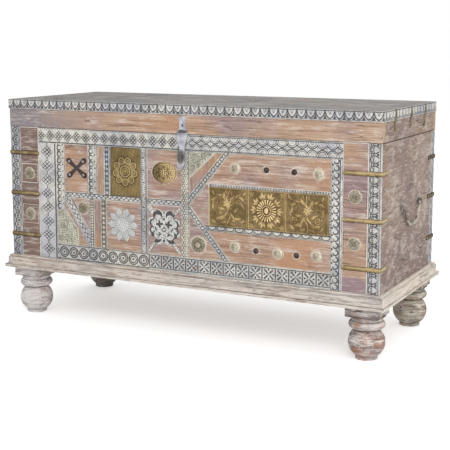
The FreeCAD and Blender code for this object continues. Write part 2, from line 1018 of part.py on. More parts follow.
def hinge_pins():
    """Pins with a head at each end."""
    pins = []
    for x in hinge_places():
        end = hinge_width / 2 + knuckle_gap
        shaft = knuckle(x - end, x + end, hinge_y, hinge_z, hinge_pin_radius)
        left = knuckle(x - end - pin_head_length, x - end, hinge_y, hinge_z, pin_head_radius)
        right = knuckle(x + end, x + end + pin_head_length, hinge_y, hinge_z, pin_head_radius)
        pins.append(shaft.fuse([left, right]).removeSplitter())
    return group(pins)


def frame_board(y_outer, y_inner):
    """A long board of the lid's frame, with its lower outer edge chamfered."""
    top = lid_top_z - lid_plank_thickness
    cut = seam_chamfer if y_inner > y_outer else -seam_chamfer
    corners = [
        point(-half_length, y_outer + cut, lid_z),
        point(-half_length, y_inner, lid_z),
        point(-half_length, y_inner, top),
        point(-half_length, y_outer, top),
        point(-half_length, y_outer, lid_z + seam_chamfer),
    ]
    return prism(corners, point(case_length, 0, 0))


def lid_front():
    return frame_board(front_y, front_y + board_thickness)


def lid_back():
    return frame_board(back_y, back_y - board_thickness)


def lid_side():
    top = lid_top_z - lid_plank_thickness
    start = front_y + board_thickness
    corners = [
        point(half_length - seam_chamfer, start, lid_z),
        point(inner_x, start, lid_z),
        point(inner_x, start, top),
        point(half_length, start, top),
        point(half_length, start, lid_z + seam_chamfer),
    ]
    return prism(corners, point(0, case_depth - 2 * board_thickness, 0))


def lid_sides():
    return group([lid_side(), mirrored(lid_side())])


def lid_planks():
    """The planks of the top, side by side on the lid's frame."""
    planks = []
    bottom = lid_top_z - lid_plank_thickness
    edges = [front_y + share * case_depth for share in lid_plank_edge_shares]
    for y0, y1 in zip(edges, edges[1:]):
        start = y0 if y0 == front_y else y0 + lid_plank_gap / 2
        end = y1 if y1 == edges[-1] else y1 - lid_plank_gap / 2
        planks.append(block(-half_length, half_length, start, end, bottom, lid_top_z))
    return group(planks)


def lid_strip_front():
    reach = half_length + lid_strip_thickness
    bottom = lid_top_z - lid_strip_height
    return block(-reach, reach, front_y - lid_strip_thickness, front_y, bottom, lid_top_z)


def lid_strips_side():
    bottom = lid_top_z - lid_strip_height
    right = block(half_length, half_length + lid_strip_thickness, front_y, back_y, bottom, lid_top_z)
    return group([right, mirrored(right)])


def lid_strap(y):
    """A strap down the side of the lid that steps over the carved strip."""
    step_z = lid_top_z - lid_strip_height
    low_z = lid_top_z - lid_strap_length
    face = half_length
    proud = half_length + lid_strip_thickness
    outline = [
        (face, low_z),
        (face + strap_thickness, low_z),
        (face + strap_thickness, step_z - lid_strip_thickness),
        (proud + strap_thickness, step_z - strap_thickness),
        (proud + strap_thickness, lid_top_z),
        (proud, lid_top_z),
        (proud, step_z),
        (face, step_z - lid_strip_thickness),
    ]
    corners = [point(x, y - lid_strap_width / 2, z) for x, z in outline]
    return prism(corners, point(0, lid_strap_width, 0))


def lid_strap_places():
    return [front_y + share * case_depth for share in lid_strap_y_shares]


def lid_straps():
    straps = []
    for y in lid_strap_places():
        straps.append(lid_strap(y))
        straps.append(mirrored(lid_strap(y)))
    return group(straps)


def lid_nails():
    """Nails in the lid's straps, and in the hinge leaves on the lid."""
    nails = []
    low_z = lid_top_z - lid_strap_length + nail_inset
    high_z = lid_top_z - lid_strip_height / 2
    low_x = half_length + strap_thickness
    for y in lid_strap_places():
        for side in (-1, 1):
            nails.append(facing_side(nail(), side, low_x, y, low_z))
            nails.append(facing_side(nail(), side, low_x + lid_strip_thickness, y, high_z))
    z = hinge_z + hinge_knuckle_radius + hinge_face_gap + hinge_leaf_height / 2
    for x in hinge_places():
        for offset in (-hinge_width / 3, 0, hinge_width / 3):
            nails.append(facing_back(nail(), x + offset, back_y + hinge_leaf_thickness, z))
    return group(nails)


hasp_x = corner("centre", "bottom")[0] + staple_edge_gap + staple_wire_radius
hasp_y = front_y - hasp_face_gap - hasp_knuckle_radius
hasp_z = rim_z + hasp_pivot_height
staple_z = hasp_z - staple_drop


def hasp_plate():
    """The lid's half of the hasp: a waisted plate with one knuckle in the middle."""
    low = hasp_z + hasp_plate_rise
    high = low + hasp_plate_height
    half = hasp_plate_width / 2
    waist = hasp_plate_waist / 2
    waist_z = (low + high) / 2
    outline = [
        (hasp_x - half, low),
        (hasp_x + half, low),
        (hasp_x + waist, waist_z),
        (hasp_x + half, high),
        (hasp_x - half, high),
        (hasp_x - waist, waist_z),
    ]
    body = plate(outline, front_y, hasp_metal)
    x0 = hasp_x - hasp_middle_knuckle / 2
    x1 = hasp_x + hasp_middle_knuckle / 2
    tab = block(x0, x1, front_y - hasp_metal, front_y, hasp_z, low)
    barrel = knuckle(x0, x1, hasp_y, hasp_z, hasp_knuckle_radius)
    whole = body.fuse([tab, barrel]).removeSplitter()
    return whole.cut(hasp_bore())


def hasp_bore():
    start = hasp_x - hasp_head_width
    return knuckle(start, start + 2 * hasp_head_width, hasp_y, hasp_z, hasp_pin_radius + running_clearance)


def hasp_pin():
    end = hasp_head_width / 2 + knuckle_gap
    head = hasp_pin_head_radius / 2
    shaft = knuckle(hasp_x - end, hasp_x + end, hasp_y, hasp_z, hasp_pin_radius)
    left = knuckle(hasp_x - end - head, hasp_x - end, hasp_y, hasp_z, hasp_pin_head_radius)
    right = knuckle(hasp_x + end, hasp_x + end + head, hasp_y, hasp_z, hasp_pin_head_radius)
    return shaft.fuse([left, right]).removeSplitter()


def hasp_arm():
    """The swinging half: two knuckles, a shoulder, a slot for the staple and a tapered tail."""
    half = hasp_head_width / 2
    arm = hasp_arm_width / 2
    tail = hasp_tail_width / 2
    sides = [
        (half, 0),
        (half, hasp_shoulder_start),
        (arm, hasp_shoulder_end),
        (arm, hasp_tail_start),
        (tail, hasp_arm_length - tail),
        (tail / 2, hasp_arm_length),
    ]
    outline = [(hasp_x + width, hasp_z - drop) for width, drop in sides]
    outline += [(hasp_x - width, hasp_z - drop) for width, drop in reversed(sides)]
    back = front_y - hasp_face_gap
    body = plate(outline, back, hasp_metal)
    radius = hasp_knuckle_radius
    inner = hasp_middle_knuckle / 2 + knuckle_gap
    clear = radius + knuckle_gap
    notch_y = front_y - overrun - clear
    notch = block(hasp_x - inner, hasp_x + inner, notch_y, front_y, hasp_z - clear, hasp_z + clear)
    body = body.cut(notch)
    left = knuckle(hasp_x - half, hasp_x - inner, hasp_y, hasp_z, radius)
    right = knuckle(hasp_x + inner, hasp_x + half, hasp_y, hasp_z, radius)
    body = body.fuse([left, right]).removeSplitter()
    width = hasp_slot_width / 2
    slot_top = hasp_z - hasp_slot_start - width
    slot_low = hasp_z - hasp_slot_end + width
    deep = front_y - overrun
    slot = block(hasp_x - width, hasp_x + width, deep, front_y, slot_low, slot_top)
    for z in (slot_low, slot_top):
        slot = slot.fuse(Part.makeCylinder(width, overrun, point(hasp_x, deep, z), point(0, 1, 0)))
    whole = body.cut(slot).cut(hasp_bore())
    whole.rotate(point(hasp_x, hasp_y, hasp_z), point(1, 0, 0), -hasp_rest_tilt)
    return whole


def hasp_staple():
    """A wire staple driven through the strip into the front board."""
    half = staple_spacing / 2
    inside = ground_y + staple_depth
    crown = front_y - staple_reach + staple_wire_radius
    corners = [
        point(hasp_x, inside, staple_z - half),
        point(hasp_x, crown, staple_z - half),
        point(hasp_x, crown, staple_z + half),
        point(hasp_x, inside, staple_z + half),
    ]
    return rod(corners, (staple_bend_radius, staple_bend_radius), staple_wire_radius)


PARTS = {
    "front_board": front_board,
    "back_board": back_board,
    "left_board": lambda: mirrored(right_board()),
    "right_board": right_board,
    "floor_board": floor_board,
    "plinth_front": lambda: plinth(0),
    "plinth_right": lambda: plinth(1),
    "plinth_back": lambda: plinth(2),
    "plinth_left": lambda: plinth(3),
    "foot_front_left": lambda: foot(-1, -1),
    "foot_front_right": lambda: foot(1, -1),
    "foot_rear_left": lambda: foot(-1, 1),
    "foot_rear_right": lambda: foot(1, 1),
    "corner_strips": corner_strips,
    "column_panels": column_panels,
    "strip_lozenge_left": strip_lozenge_left,
    "strip_lozenge_top": strip_lozenge_top,
    "strip_lattice_top": strip_lattice_top,
    "strip_scallop_right": strip_scallop_right,
    "strip_circles_bottom": strip_circles_bottom,
    "strip_blocks_bottom": strip_blocks_bottom,
    "strips_pearl": strips_pearl,
    "strips_scroll": strips_scroll,
    "strips_beaded": strips_beaded,
    "strip_double_pearl": strip_double_pearl,
    "strips_diagonal": strips_diagonal,
    "rail_scallop": rail_scallop,
    "slats_plain": slats_plain,
    "square_panels": square_panels,
    "corner_panels": corner_panels,
    "trapezoid_panels": trapezoid_panels,
    "foliage_panels": foliage_panels,
    "brass_rosette_plate": brass_rosette_plate,
    "brass_relief_plates": brass_relief_plates,
    "iron_cross": iron_cross,
    "oval_medallion": oval_medallion,
    "star_applique": star_applique,
    "foliage_applique": foliage_applique,
    "brass_bosses": brass_bosses,
    "iron_studs": iron_studs,
    "corner_straps": corner_straps,
    "strap_nails": strap_nails,
    "handle_ears": handle_ears,
    "hasp_staple": hasp_staple,
    "hinge_case_leaves": hinge_case_leaves,
    "hinge_pins": hinge_pins,
    "lid_planks": lid_planks,
    "lid_front": lid_front,
    "lid_back": lid_back,
    "lid_sides": lid_sides,
    "lid_strip_front": lid_strip_front,
    "lid_strips_side": lid_strips_side,
    "lid_straps": lid_straps,
    "lid_nails": lid_nails,
    "hinge_lid_leaves": hinge_lid_leaves,
    "hasp_plate": hasp_plate,
    "hasp_pin": hasp_pin,
    "hasp_arm": hasp_arm,
    "handle_left": lambda: mirrored(handle_right()),
    "handle_right": handle_right,
}

os.makedirs("parts", exist_ok=True)
for name, make in PARTS.items():
    make().exportStep("parts/" + name + ".step")
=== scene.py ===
"""Arabic dowry chest: carved strips, brass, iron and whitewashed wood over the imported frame.

Lengths are millimetres until a mesh or a lamp is made, which is in metres.
"""

import logging
import math
from collections.abc import Callable
from dataclasses import dataclass, field, replace
from enum import Enum

import bmesh
import bpy
import numpy as np
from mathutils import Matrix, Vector


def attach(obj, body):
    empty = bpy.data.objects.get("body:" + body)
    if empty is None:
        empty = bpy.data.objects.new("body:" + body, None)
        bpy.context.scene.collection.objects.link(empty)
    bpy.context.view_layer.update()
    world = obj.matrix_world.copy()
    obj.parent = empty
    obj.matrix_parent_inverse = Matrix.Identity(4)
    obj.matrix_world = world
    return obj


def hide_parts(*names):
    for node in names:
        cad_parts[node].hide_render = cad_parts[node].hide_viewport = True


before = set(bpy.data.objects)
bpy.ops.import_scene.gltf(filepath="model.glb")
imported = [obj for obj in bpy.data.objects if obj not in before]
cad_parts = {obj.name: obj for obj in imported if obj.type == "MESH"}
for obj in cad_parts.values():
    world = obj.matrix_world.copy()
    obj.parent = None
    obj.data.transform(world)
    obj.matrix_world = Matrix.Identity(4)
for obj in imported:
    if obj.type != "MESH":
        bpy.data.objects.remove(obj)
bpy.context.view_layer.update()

Array = np.ndarray
Point = tuple[float, float]
Colour = tuple[int, int, int]
Pair = tuple[Array, Array]
Relief = Callable[[Array, Array, Array], Pair]
MILLIMETRE = 0.001
WHITE = (1.0, 1.0, 1.0, 1.0)
log = logging.getLogger("chest")


# ---------------------------------------------------------------- materials


def operator(operation: str, swapped: bool = False) -> Callable[["Wire", "Number"], "Wire"]:
    """A method of Wire that adds a Math node, with its two values swapped for Python's r forms."""
    return lambda self, other: self.maths(operation, *((other, self) if swapped else (self, other)))


class Wire:
    """A node's output in a tree. Python's operators on it add Math nodes."""

    __add__, __radd__ = operator("ADD"), operator("ADD", True)
    __sub__, __rsub__ = operator("SUBTRACT"), operator("SUBTRACT", True)
    __mul__, __rmul__ = operator("MULTIPLY"), operator("MULTIPLY", True)
    larger = operator("MAXIMUM")

    def __init__(self, nodes: "Nodes", socket: bpy.types.NodeSocket) -> None:
        """Keeps the socket and the tree that it belongs to."""
        self.nodes = nodes
        self.socket = socket

    def maths(self, operation: str, first: "Number", second: "Number") -> "Wire":
        """Adds one Math node on two values, and hands back its output."""
        return self.nodes.node("Math", {0: first, 1: second}, operation=operation)

    def __abs__(self) -> "Wire":
        """The value without its sign."""
        return self.maths("ABSOLUTE", self, 0.0)

    def between(self, low: float, high: float) -> "Wire":
        """0 at low and 1 at high, with a smooth step between. low may be the larger."""
        values = {"Value": self, "From Min": low, "From Max": high}
        return self.nodes.node("MapRange", values, interpolation_type="SMOOTHSTEP")


Number = float | Wire


def linear(colour: Colour) -> tuple[float, float, float, float]:
    """A colour of 0 to 255 as seen on a screen, as the linear colour that a shader takes.

    Args:
        colour: Red, green and blue.

    Returns:
        Linear red, green and blue, with an alpha of 1.
    """
    parts = [part / 255 for part in colour]
    return (*(((p + 0.055) / 1.055) ** 2.4 if p > 0.04045 else p / 12.92 for p in parts), 1.0)


class Nodes:
    """A node tree as it is put together."""

    def __init__(self, tree: bpy.types.NodeTree) -> None:
        """Keeps the tree, emptied."""
        self.tree = tree
        tree.nodes.clear()

    def plug(self, socket: bpy.types.NodeSocket, value: object) -> None:
        """Links a wire to a socket, or sets the socket's own value.

        Args:
            socket: The socket that takes the value.
            value: A Wire, a number, a vector or a colour.
        """
        if isinstance(value, Wire):
            self.tree.links.new(value.socket, socket)
        else:
            socket.default_value = value

    def node(self, kind: str, inputs: dict | None = None, output: int | str = 0, **settings: object) -> Wire:
        """Adds a node.

        Args:
            kind: Its type, without ShaderNode before it.
            inputs: Values or wires for its sockets, by name or number.
            output: Which output to hand back.
            settings: Its own settings.

        Returns:
            The chosen output.
        """
        made = self.tree.nodes.new("ShaderNode" + kind)
        for key, value in settings.items():
            setattr(made, key, value)
        for key, value in (inputs or {}).items():
            self.plug(made.inputs[key], value)
        return Wire(self, made.outputs[output])

    def direct_rays(self) -> Wire:
        """1 for rays from the camera, in a mirror or through glass, and 0 for the rest."""
        kinds = ("Camera", "Glossy", "Transmission")
        rays = [self.node("LightPath", output=f"Is {kind} Ray") for kind in kinds]
        return rays[0].larger(rays[1]).larger(rays[2])


class Recipe(Nodes):
    """A material as it is put together. It ends in one Principled shader."""

    def __init__(self, name: str) -> None:
        """Starts an empty material of this name."""
        self.material = bpy.data.materials.new(name)
        self.material.use_nodes = True
        super().__init__(self.material.node_tree)
        self.shader = self.tree.nodes.new("ShaderNodeBsdfPrincipled")
        self.output = self.tree.nodes.new("ShaderNodeOutputMaterial")
        self.tree.links.new(self.shader.outputs[0], self.output.inputs[0])

    def place(self, scale: tuple = (1, 1, 1), turn: tuple = (0, 0, 0), start: tuple = (0, 0, 0)) -> Wire:
        """Object coordinates, stretched, turned and moved."""
        values = {"Vector": self.node("TexCoord", output="Object"), "Location": start}
        return self.node("Mapping", {**values, "Rotation": turn, "Scale": scale})

    def noise(self, where: Wire | tuple, scale: float, detail: float = 4, rough: float = 0.55, bend: float = 0) -> Wire:
        """Soft noise from about 0.2 to 0.8.

        Args:
            where: The coordinates, or how far the object's own are moved.
            scale: How fine it is.
            detail: How many finer layers it has.
            rough: How strong they are.
            bend: How far it is bent by itself.

        Returns:
            The noise.
        """
        if isinstance(where, tuple):
            where = self.place(start=where)
        values = {"Vector": where, "Scale": scale, "Detail": detail, "Roughness": rough, "Distortion": bend}
        return self.node("TexNoise", values)

    def axis(self, name: str, unit: float = 1.0) -> Wire:
        """The distance along X, Y or Z, in metres or in a unit that a metre has this many of."""
        return self.node("SeparateXYZ", {0: self.place((unit, unit, unit))}, name)

    def upright(self) -> Wire:
        """1 on upright faces and 0 on level ones: 1 - |z| of the object's own normal."""
        return 1 - abs(self.node("SeparateXYZ", {0: self.node("TexCoord", output="Normal")}, "Z"))

    def spot(self, x: float, z: float, reach: Point) -> Wire:
        """1 at a place on the front, falling to 0 at an ellipse's edge.

        Args:
            x: The place's distance to the right, in millimetres.
            z: Its height.
            reach: The ellipse's half width and half height.

        Returns:
            1 in the middle and 0 outside.
        """
        flat = self.place((1000 / reach[0], 0, 1000 / reach[1]), start=(-x / reach[0], 0, -z / reach[1]))
        return self.node("VectorMath", {0: flat}, "Value", operation="LENGTH").between(1.0, 0.55)

    def attribute(self, name: str) -> Wire:
        """A number that the mesh holds at each point, or 0 where the mesh hasn't got it."""
        return self.node("Attribute", output="Fac", attribute_name=name)

    def ramp(self, value: Wire, stops: list[tuple[float, Colour]]) -> Wire:
        """Colours read off a ramp.

        Args:
            value: Where on the ramp.
            stops: Its positions and colours, in rising order.

        Returns:
            The colour there.
        """
        made = self.tree.nodes.new("ShaderNodeValToRGB")
        elements = made.color_ramp.elements
        while len(elements) < len(stops):
            elements.new(1.0)
        for element, (position, colour) in zip(elements, stops):
            element.position = position
            element.color = linear(colour)
        self.plug(made.inputs[0], value)
        return Wire(self, made.outputs[0])

    def mix(self, share: Number, first: Wire | Colour, second: Wire | Colour) -> Wire:
        """Mixes two colours.

        Args:
            share: How much of the second colour shows.
            first: A wire, or a colour of 0 to 255.
            second: The same.

        Returns:
            The mixed colour.
        """
        ends = [linear(c) if isinstance(c, tuple) else c for c in (first, second)]
        return self.node("Mix", {0: share, 6: ends[0], 7: ends[1]}, 2, data_type="RGBA", clamp_factor=True)

    def bump(self, height: Wire, rise: float) -> Wire:
        """A bumped normal, where a height of 1 stands this many millimetres over 0."""
        return self.node("Bump", {"Height": height, "Distance": rise * MILLIMETRE, "Strength": 1.0})

    def finish(self, **inputs: object) -> bpy.types.Material:
        """Sets the shader's own sockets, named with _ for a space, and hands the material back."""
        for name, value in inputs.items():
            self.plug(self.shader.inputs[name.replace("_", " ").title()], value)
        return self.material


class Grain(Enum):
    """The way that the grain of a board runs, as the stretch of its noise along X, Y and Z."""

    ALONG_X = (1.0, 24.0, 24.0)
    ALONG_Y = (24.0, 1.0, 24.0)
    ALONG_Z = (24.0, 24.0, 1.0)
    STROKES = (5.0, 1.0, 5.0)
    TURNED = (1.0, 1.0, 7.0)


END_FADE = (-0.30, -0.50)
SHADOW_LINE_FADE = (2.0, 0.8)
CRACK_AND_SHADE_TONE = 0.42
LID_SHADOW_LINE = (553.2,)
PLINTH_SHADOW_LINES = (149.2, 170.6)
FOOT_SHADOW_LINES = (9.6, 78.4, 100.2, 112.6)


class Finish:
    """Anything that can make one material, once."""

    made: dict = {}

    def material(self) -> bpy.types.Material:
        """The finish's material, made the first time that it is asked for."""
        if self not in Finish.made:
            Finish.made[self] = self.brew()
        return Finish.made[self]

    def brew(self) -> bpy.types.Material:
        """Puts the material together."""
        raise NotImplementedError


@dataclass(frozen=True)
class WashedWood(Finish):
    """Old wood under a worn white wash, which stays in streaks, in specks and along the edges."""

    name: str
    grain: Grain
    dark: Colour = (136, 104, 88)
    wood: Colour = (168, 136, 114)
    pale: Colour = (188, 159, 138)
    warm: Colour = (180, 134, 100)
    violet: Colour = (150, 130, 132)
    wash: Colour = (222, 214, 205)
    cover: float = 0.4
    streaks: float = 0.5
    fine: float = 9.0
    turn: tuple = (0.0, 0.0, 0.0)
    crack: float = 0.6
    edge: float = 0.9
    patch: float = 4.0
    # seams: heights of painted shadow lines, drawn dark on upright faces where parts meet and along creases.
    seams: tuple = ()
    shaded_end: float = 0.0
    end_shade: Colour = (110, 89, 81)
    knot: tuple = ()
    violet_patch: tuple = ()
    lines: float = 0.0

    def brew(self) -> bpy.types.Material:
        """Grain noise gives the wood, wide noise its two hues, and stretched noise the wash and its streaks."""
        r = Recipe(self.name)
        lines = r.place(self.grain.value, self.turn)
        grain = r.noise(lines, self.fine, 5, 0.66, 0.5)
        broad = r.noise(lines, self.fine * 0.3, 3, 0.5, 1.0)
        colour = r.ramp(grain * 0.62 + broad * 0.38, [(0.36, self.dark), (0.47, self.wood), (0.62, self.pale)])
        hue = r.noise((3, 1, 7), self.patch, 2)
        colour = r.mix(hue.between(0.47, 0.60) * 0.7, colour, self.violet)
        colour = r.mix(hue.between(0.46, 0.34) * 0.7, colour, self.warm)
        # Darkens the wood towards violet inside an ellipse; on the side wood this is painted shade at the foot of the
        # right side.
        if self.violet_patch:
            colour = r.mix(r.spot(*self.violet_patch) * 0.9, colour, self.violet)
        # Painted shade: the wood is darkened towards the chest's left end, as if less light fell there.
        if self.shaded_end:
            colour = r.mix(r.axis("X").between(*END_FADE) * self.shaded_end, colour, self.end_shade)
        soft = tuple(1.0 + (a - 1.0) * 0.12 for a in self.grain.value)
        veil = r.noise(r.place(soft, self.turn, (1, 5, 2)), 15.0, 6, 0.7, 0.4)
        veil = (veil + grain * 0.5).between(0.86 - self.cover * 0.3, 1.12 - self.cover * 0.42) * 0.6
        threads = r.noise(r.place(self.grain.value, self.turn, (4, 2, 6)), self.fine * 1.7, 3, 0.6, 0.2)
        threads = threads.between(0.66 - self.streaks * 0.12, 0.74 - self.streaks * 0.1) * 0.8
        specks = r.noise((6, 3, 5), 210, 3, 0.6)
        rim = r.attribute("edge").larger(r.attribute("recess")) * self.edge
        worn = (rim * 1.1 + specks * 0.6).between(0.60, 0.95)
        flecks = specks.between(0.60, 0.72) * 0.34
        cover = veil.larger(threads).larger(worn * 0.92).larger(flecks)
        colour = r.mix(cover, colour, self.wash)
        split = abs(r.noise(lines, self.fine * 0.45, 2, 0.5, 0.3) - 0.5).between(0.013, 0.0)
        lasting = r.noise((9, 2, 4), 11.0, 2).between(0.48, 0.58)
        split = (split * lasting * self.crack).larger(specks.between(0.36, 0.26) * 0.4)
        split = split.larger((0 - r.attribute("recess")).between(0.1, 0.9) * 0.8)
        if self.lines:
            thin = r.noise(lines, self.fine * 0.9, 3, 0.6, 0.1)
            split = split.larger(abs(thin - 0.46).between(0.022, 0.0) * self.lines)
        if self.knot:
            split = split.larger(r.spot(*self.knot) * grain)
        # Painted shadow: a dark line on upright faces at each of these heights, at the lid's joint with the case and in
        # the creases of the plinth and the feet.
        for seam in self.seams:
            split = split.larger(abs(r.axis("Z", 1000.0) - seam).between(*SHADOW_LINE_FADE) * r.upright())
        # Cracks, specks, groove lines and the painted shadow lines all darken the wood to this colour.
        colour = r.mix(split, colour, tuple(int(c * CRACK_AND_SHADE_TONE) for c in self.dark))
        height = grain * 0.5 + cover * 0.3 - split * 1.2
        return r.finish(base_color=colour, roughness=0.80 - grain * 0.14, normal=r.bump(height, 0.8))


@dataclass(frozen=True)
class PaintedCarving(Finish):
    """Carved wood painted off-white, with dirt and painted shade dark in its hollows, grime on the paint and bare worn
    spots.
    """

    name: str
    paint: Colour = (217, 213, 203)
    second: Colour = (190, 190, 190)
    grime: Colour = (138, 134, 126)
    hollow: Colour = (68, 67, 70)
    wood: Colour = (172, 144, 122)
    bare: float = 0.3
    coarse: float = 8.0

    def brew(self) -> bpy.types.Material:
        """The depth held by the mesh as recess chooses between paint and the dark of dirt and painted shade."""
        r = Recipe(self.name)
        depth = r.attribute("recess")
        wide = r.noise((2, 8, 5), self.coarse, 3)
        fine = r.noise((4, 4, 1), 170, 4, 0.7)
        smear = r.noise((1, 9, 3), 46, 5, 0.7)
        colour = r.mix(wide.between(0.42, 0.60), self.paint, self.second)
        colour = r.mix((smear * 0.6 + fine * 0.4).between(0.44, 0.64) * 0.66, colour, self.grime)
        bare = r.noise((7, 1, 3), 34, 5, 0.7).between(0.70 - self.bare * 0.35, 0.80 - self.bare * 0.3)
        colour = r.mix(bare * 0.8, colour, self.wood)
        # Dirt and painted shade: the hollows are darkened towards the hollow colour.
        dirt_and_shade = (depth + fine * 0.5 + smear * 0.3 - 0.42).between(0.08, 0.72)
        colour = r.mix(dirt_and_shade * 0.94, colour, self.hollow)
        height = fine * 0.6 - bare * 0.3
        return r.finish(base_color=colour, roughness=0.74 + dirt_and_shade * 0.12, normal=r.bump(height, 0.35))


@dataclass(frozen=True)
class AgedMetal(Finish):
    """Worn metal, darker in its hollows and polished on its ridges, with tarnish in patches."""

    name: str
    metal: Colour
    bright: Colour
    tarnish: Colour
    hollow: Colour
    metallic: float = 0.8
    roughness: float = 0.42
    spots: float = 0.35
    scale: float = 26.0
    dent: float = 0.5
    shaded_places: tuple = ()
    lift: int = 30

    def brew(self) -> bpy.types.Material:
        """Noise mixes metal, wear and tarnish. The mesh's recess is above 0 in hollows and below 0 on ridges."""
        r = Recipe(self.name)
        depth = r.attribute("recess")
        wide = r.noise((5, 3, 8), self.scale, 4, 0.6)
        fine = r.noise((1, 6, 2), self.scale * 9, 4, 0.6)
        colour = r.mix(wide.between(0.40, 0.62), self.metal, self.bright)
        spot = (wide * 0.5 + fine * 0.5).between(0.60 - self.spots * 0.2, 0.72 - self.spots * 0.2)
        colour = r.mix(spot * 0.7, colour, self.tarnish)
        ridge = tuple(min(255, part + self.lift) for part in self.bright)
        colour = r.mix((0 - depth).between(0.1, 0.9) * 0.75, colour, ridge)
        dirt_and_shade = (depth + fine * 0.4 - 0.2).between(0.1, 0.95)
        # Painted shade: each listed place is darkened as if shade fell there.
        for x, z, half_x, half_z in self.shaded_places:
            dirt_and_shade = dirt_and_shade.larger(r.spot(x, z, (half_x, half_z)) * (fine + 0.4))
        colour = r.mix(dirt_and_shade * 0.9, colour, self.hollow)
        rough = self.roughness + fine * 0.16 + dirt_and_shade * 0.25 - 0.08
        metallic = self.metallic - spot * 0.3
        return r.finish(base_color=colour, metallic=metallic, roughness=rough, normal=r.bump(fine, self.dent))


FRONT_WOOD = WashedWood("front wood", Grain.ALONG_X)
SLAT_WOOD = WashedWood(
    "slat wood", Grain.ALONG_Z, wood=(166, 130, 104), pale=(184, 150, 124), warm=(178, 132, 96), cover=0.3
)
COLUMN_WOOD = WashedWood(
    "column wood", Grain.ALONG_X, wood=(164, 136, 119), warm=(176, 142, 116), violet=(144, 121, 128), cover=0.32,
    streaks=0.4, patch=7.0, shaded_end=0.85, violet_patch=(492.0, 190.0, (60.0, 34.0))
)
LID_FRONT_WOOD = WashedWood(
    "lid front wood", Grain.ALONG_X, wood=(176, 146, 122), pale=(192, 164, 142), cover=0.34, streaks=0.4, patch=3.4,
    edge=0.2, seams=LID_SHADOW_LINE, shaded_end=0.9, end_shade=(132, 126, 131), knot=(-295.0, 578.0, (14.0, 4.5))
)
# Its violet patch is painted shade: the lower part of the right side is darkened.
SIDE_WOOD = WashedWood(
    "side wood", Grain.STROKES, (112, 92, 82), (144, 124, 112), (164, 146, 134), (146, 116, 98), (124, 103, 98),
    (196, 187, 176), cover=0.45, streaks=0.7, fine=22.0, turn=(0.55, 0.0, 0.0), crack=0.9, patch=3.4,
    seams=LID_SHADOW_LINE, violet_patch=(565.0, 185.0, (500.0, 150.0))
)
BACK_WOOD = WashedWood(
    "back wood", Grain.ALONG_X, (116, 92, 80), (158, 130, 112), (178, 152, 134), (166, 138, 118), (150, 130, 124),
    cover=0.3, seams=LID_SHADOW_LINE
)
INNER_WOOD = WashedWood(
    "inner wood", Grain.ALONG_X, (112, 90, 76), (156, 130, 112), (180, 156, 138), (164, 126, 98), (148, 128, 120),
    cover=0.3, seams=LID_SHADOW_LINE
)
LID_WOOD = WashedWood(
    "lid wood", Grain.ALONG_X, (76, 70, 66), (120, 113, 108), (150, 144, 138), (126, 113, 100), (98, 95, 95),
    (186, 184, 180), cover=0.40, streaks=0.9, fine=6.0, crack=1.0, patch=9.0, lines=0.7
)
PLINTH_WOOD = WashedWood(
    "plinth wood", Grain.ALONG_X, (128, 110, 100), (182, 168, 158), (206, 196, 188), (190, 164, 144),
    (176, 166, 168), (226, 218, 209), cover=0.88, streaks=0.9, fine=10.0, lines=0.6, seams=PLINTH_SHADOW_LINES
)
PLINTH_SIDE_WOOD = WashedWood(
    "plinth side wood", Grain.ALONG_Y, (128, 110, 98), (186, 172, 158), (208, 198, 188), (190, 166, 146),
    (182, 172, 168), (240, 230, 217), cover=0.95, streaks=0.8, fine=11.0, crack=0.5, lines=0.3, seams=PLINTH_SHADOW_LINES
)
FOOT_WOOD = WashedWood(
    "foot wood", Grain.TURNED, (84, 68, 62), (156, 140, 132), (196, 185, 180), (156, 106, 80), (124, 113, 116),
    (228, 222, 219), cover=0.68, streaks=0.9, fine=13.0, crack=1.0, patch=17.0, lines=0.55, seams=FOOT_SHADOW_LINES
)
PALE_FOOT_WOOD = replace(
    FOOT_WOOD, name="pale foot wood", wood=(182, 172, 168), pale=(210, 203, 201), warm=(166, 142, 130),
    violet=(156, 149, 154), wash=(236, 231, 229), cover=0.78
)
# Painted shade: a darker copy of the foot finish for the rear left foot, as if it stood in shade.
SHADED_FOOT_WOOD = replace(
    FOOT_WOOD, name="shaded foot wood", dark=(54, 46, 41), wood=(106, 94, 86), pale=(136, 124, 116), warm=(106, 84, 70),
    violet=(94, 87, 86), wash=(178, 170, 163), cover=0.42
)
OLIVE_FOOT_WOOD = replace(
    FOOT_WOOD, name="olive foot wood", dark=(74, 66, 56), wood=(138, 126, 110), pale=(178, 168, 152),
    warm=(152, 122, 100), violet=(116, 106, 98), wash=(222, 216, 206), cover=0.62, lines=0.4
)
CARVING = PaintedCarving("carving")
BLUE_CARVING = PaintedCarving("blue carving", (213, 210, 204), (190, 190, 195), bare=0.2)
CORNER_CARVING = replace(BLUE_CARVING, name="corner carving", paint=(197, 194, 190), second=(178, 179, 188))
CREAM_CARVING = PaintedCarving("cream carving", (222, 217, 200), (206, 205, 198), hollow=(88, 82, 74))
GREEN_CARVING = PaintedCarving("foliage carving", (210, 207, 190), (194, 191, 174), hollow=(92, 90, 74))
PLATE_BRASS = AgedMetal(
    "plate brass", (110, 91, 54), (146, 124, 80), (90, 76, 44), (52, 42, 22), 0.55, 0.46, 0.4, 14.0, 0.3
)
RELIEF_BRASS = AgedMetal(
    "relief brass", (138, 114, 70), (184, 158, 108), (106, 86, 52), (58, 44, 22), 0.5, 0.40, 0.3, lift=58
)
OLD_BRASS = AgedMetal("old brass", (98, 86, 60), (138, 124, 92), (70, 60, 42), (36, 30, 20), 0.5, 0.5, 0.5, 40.0)
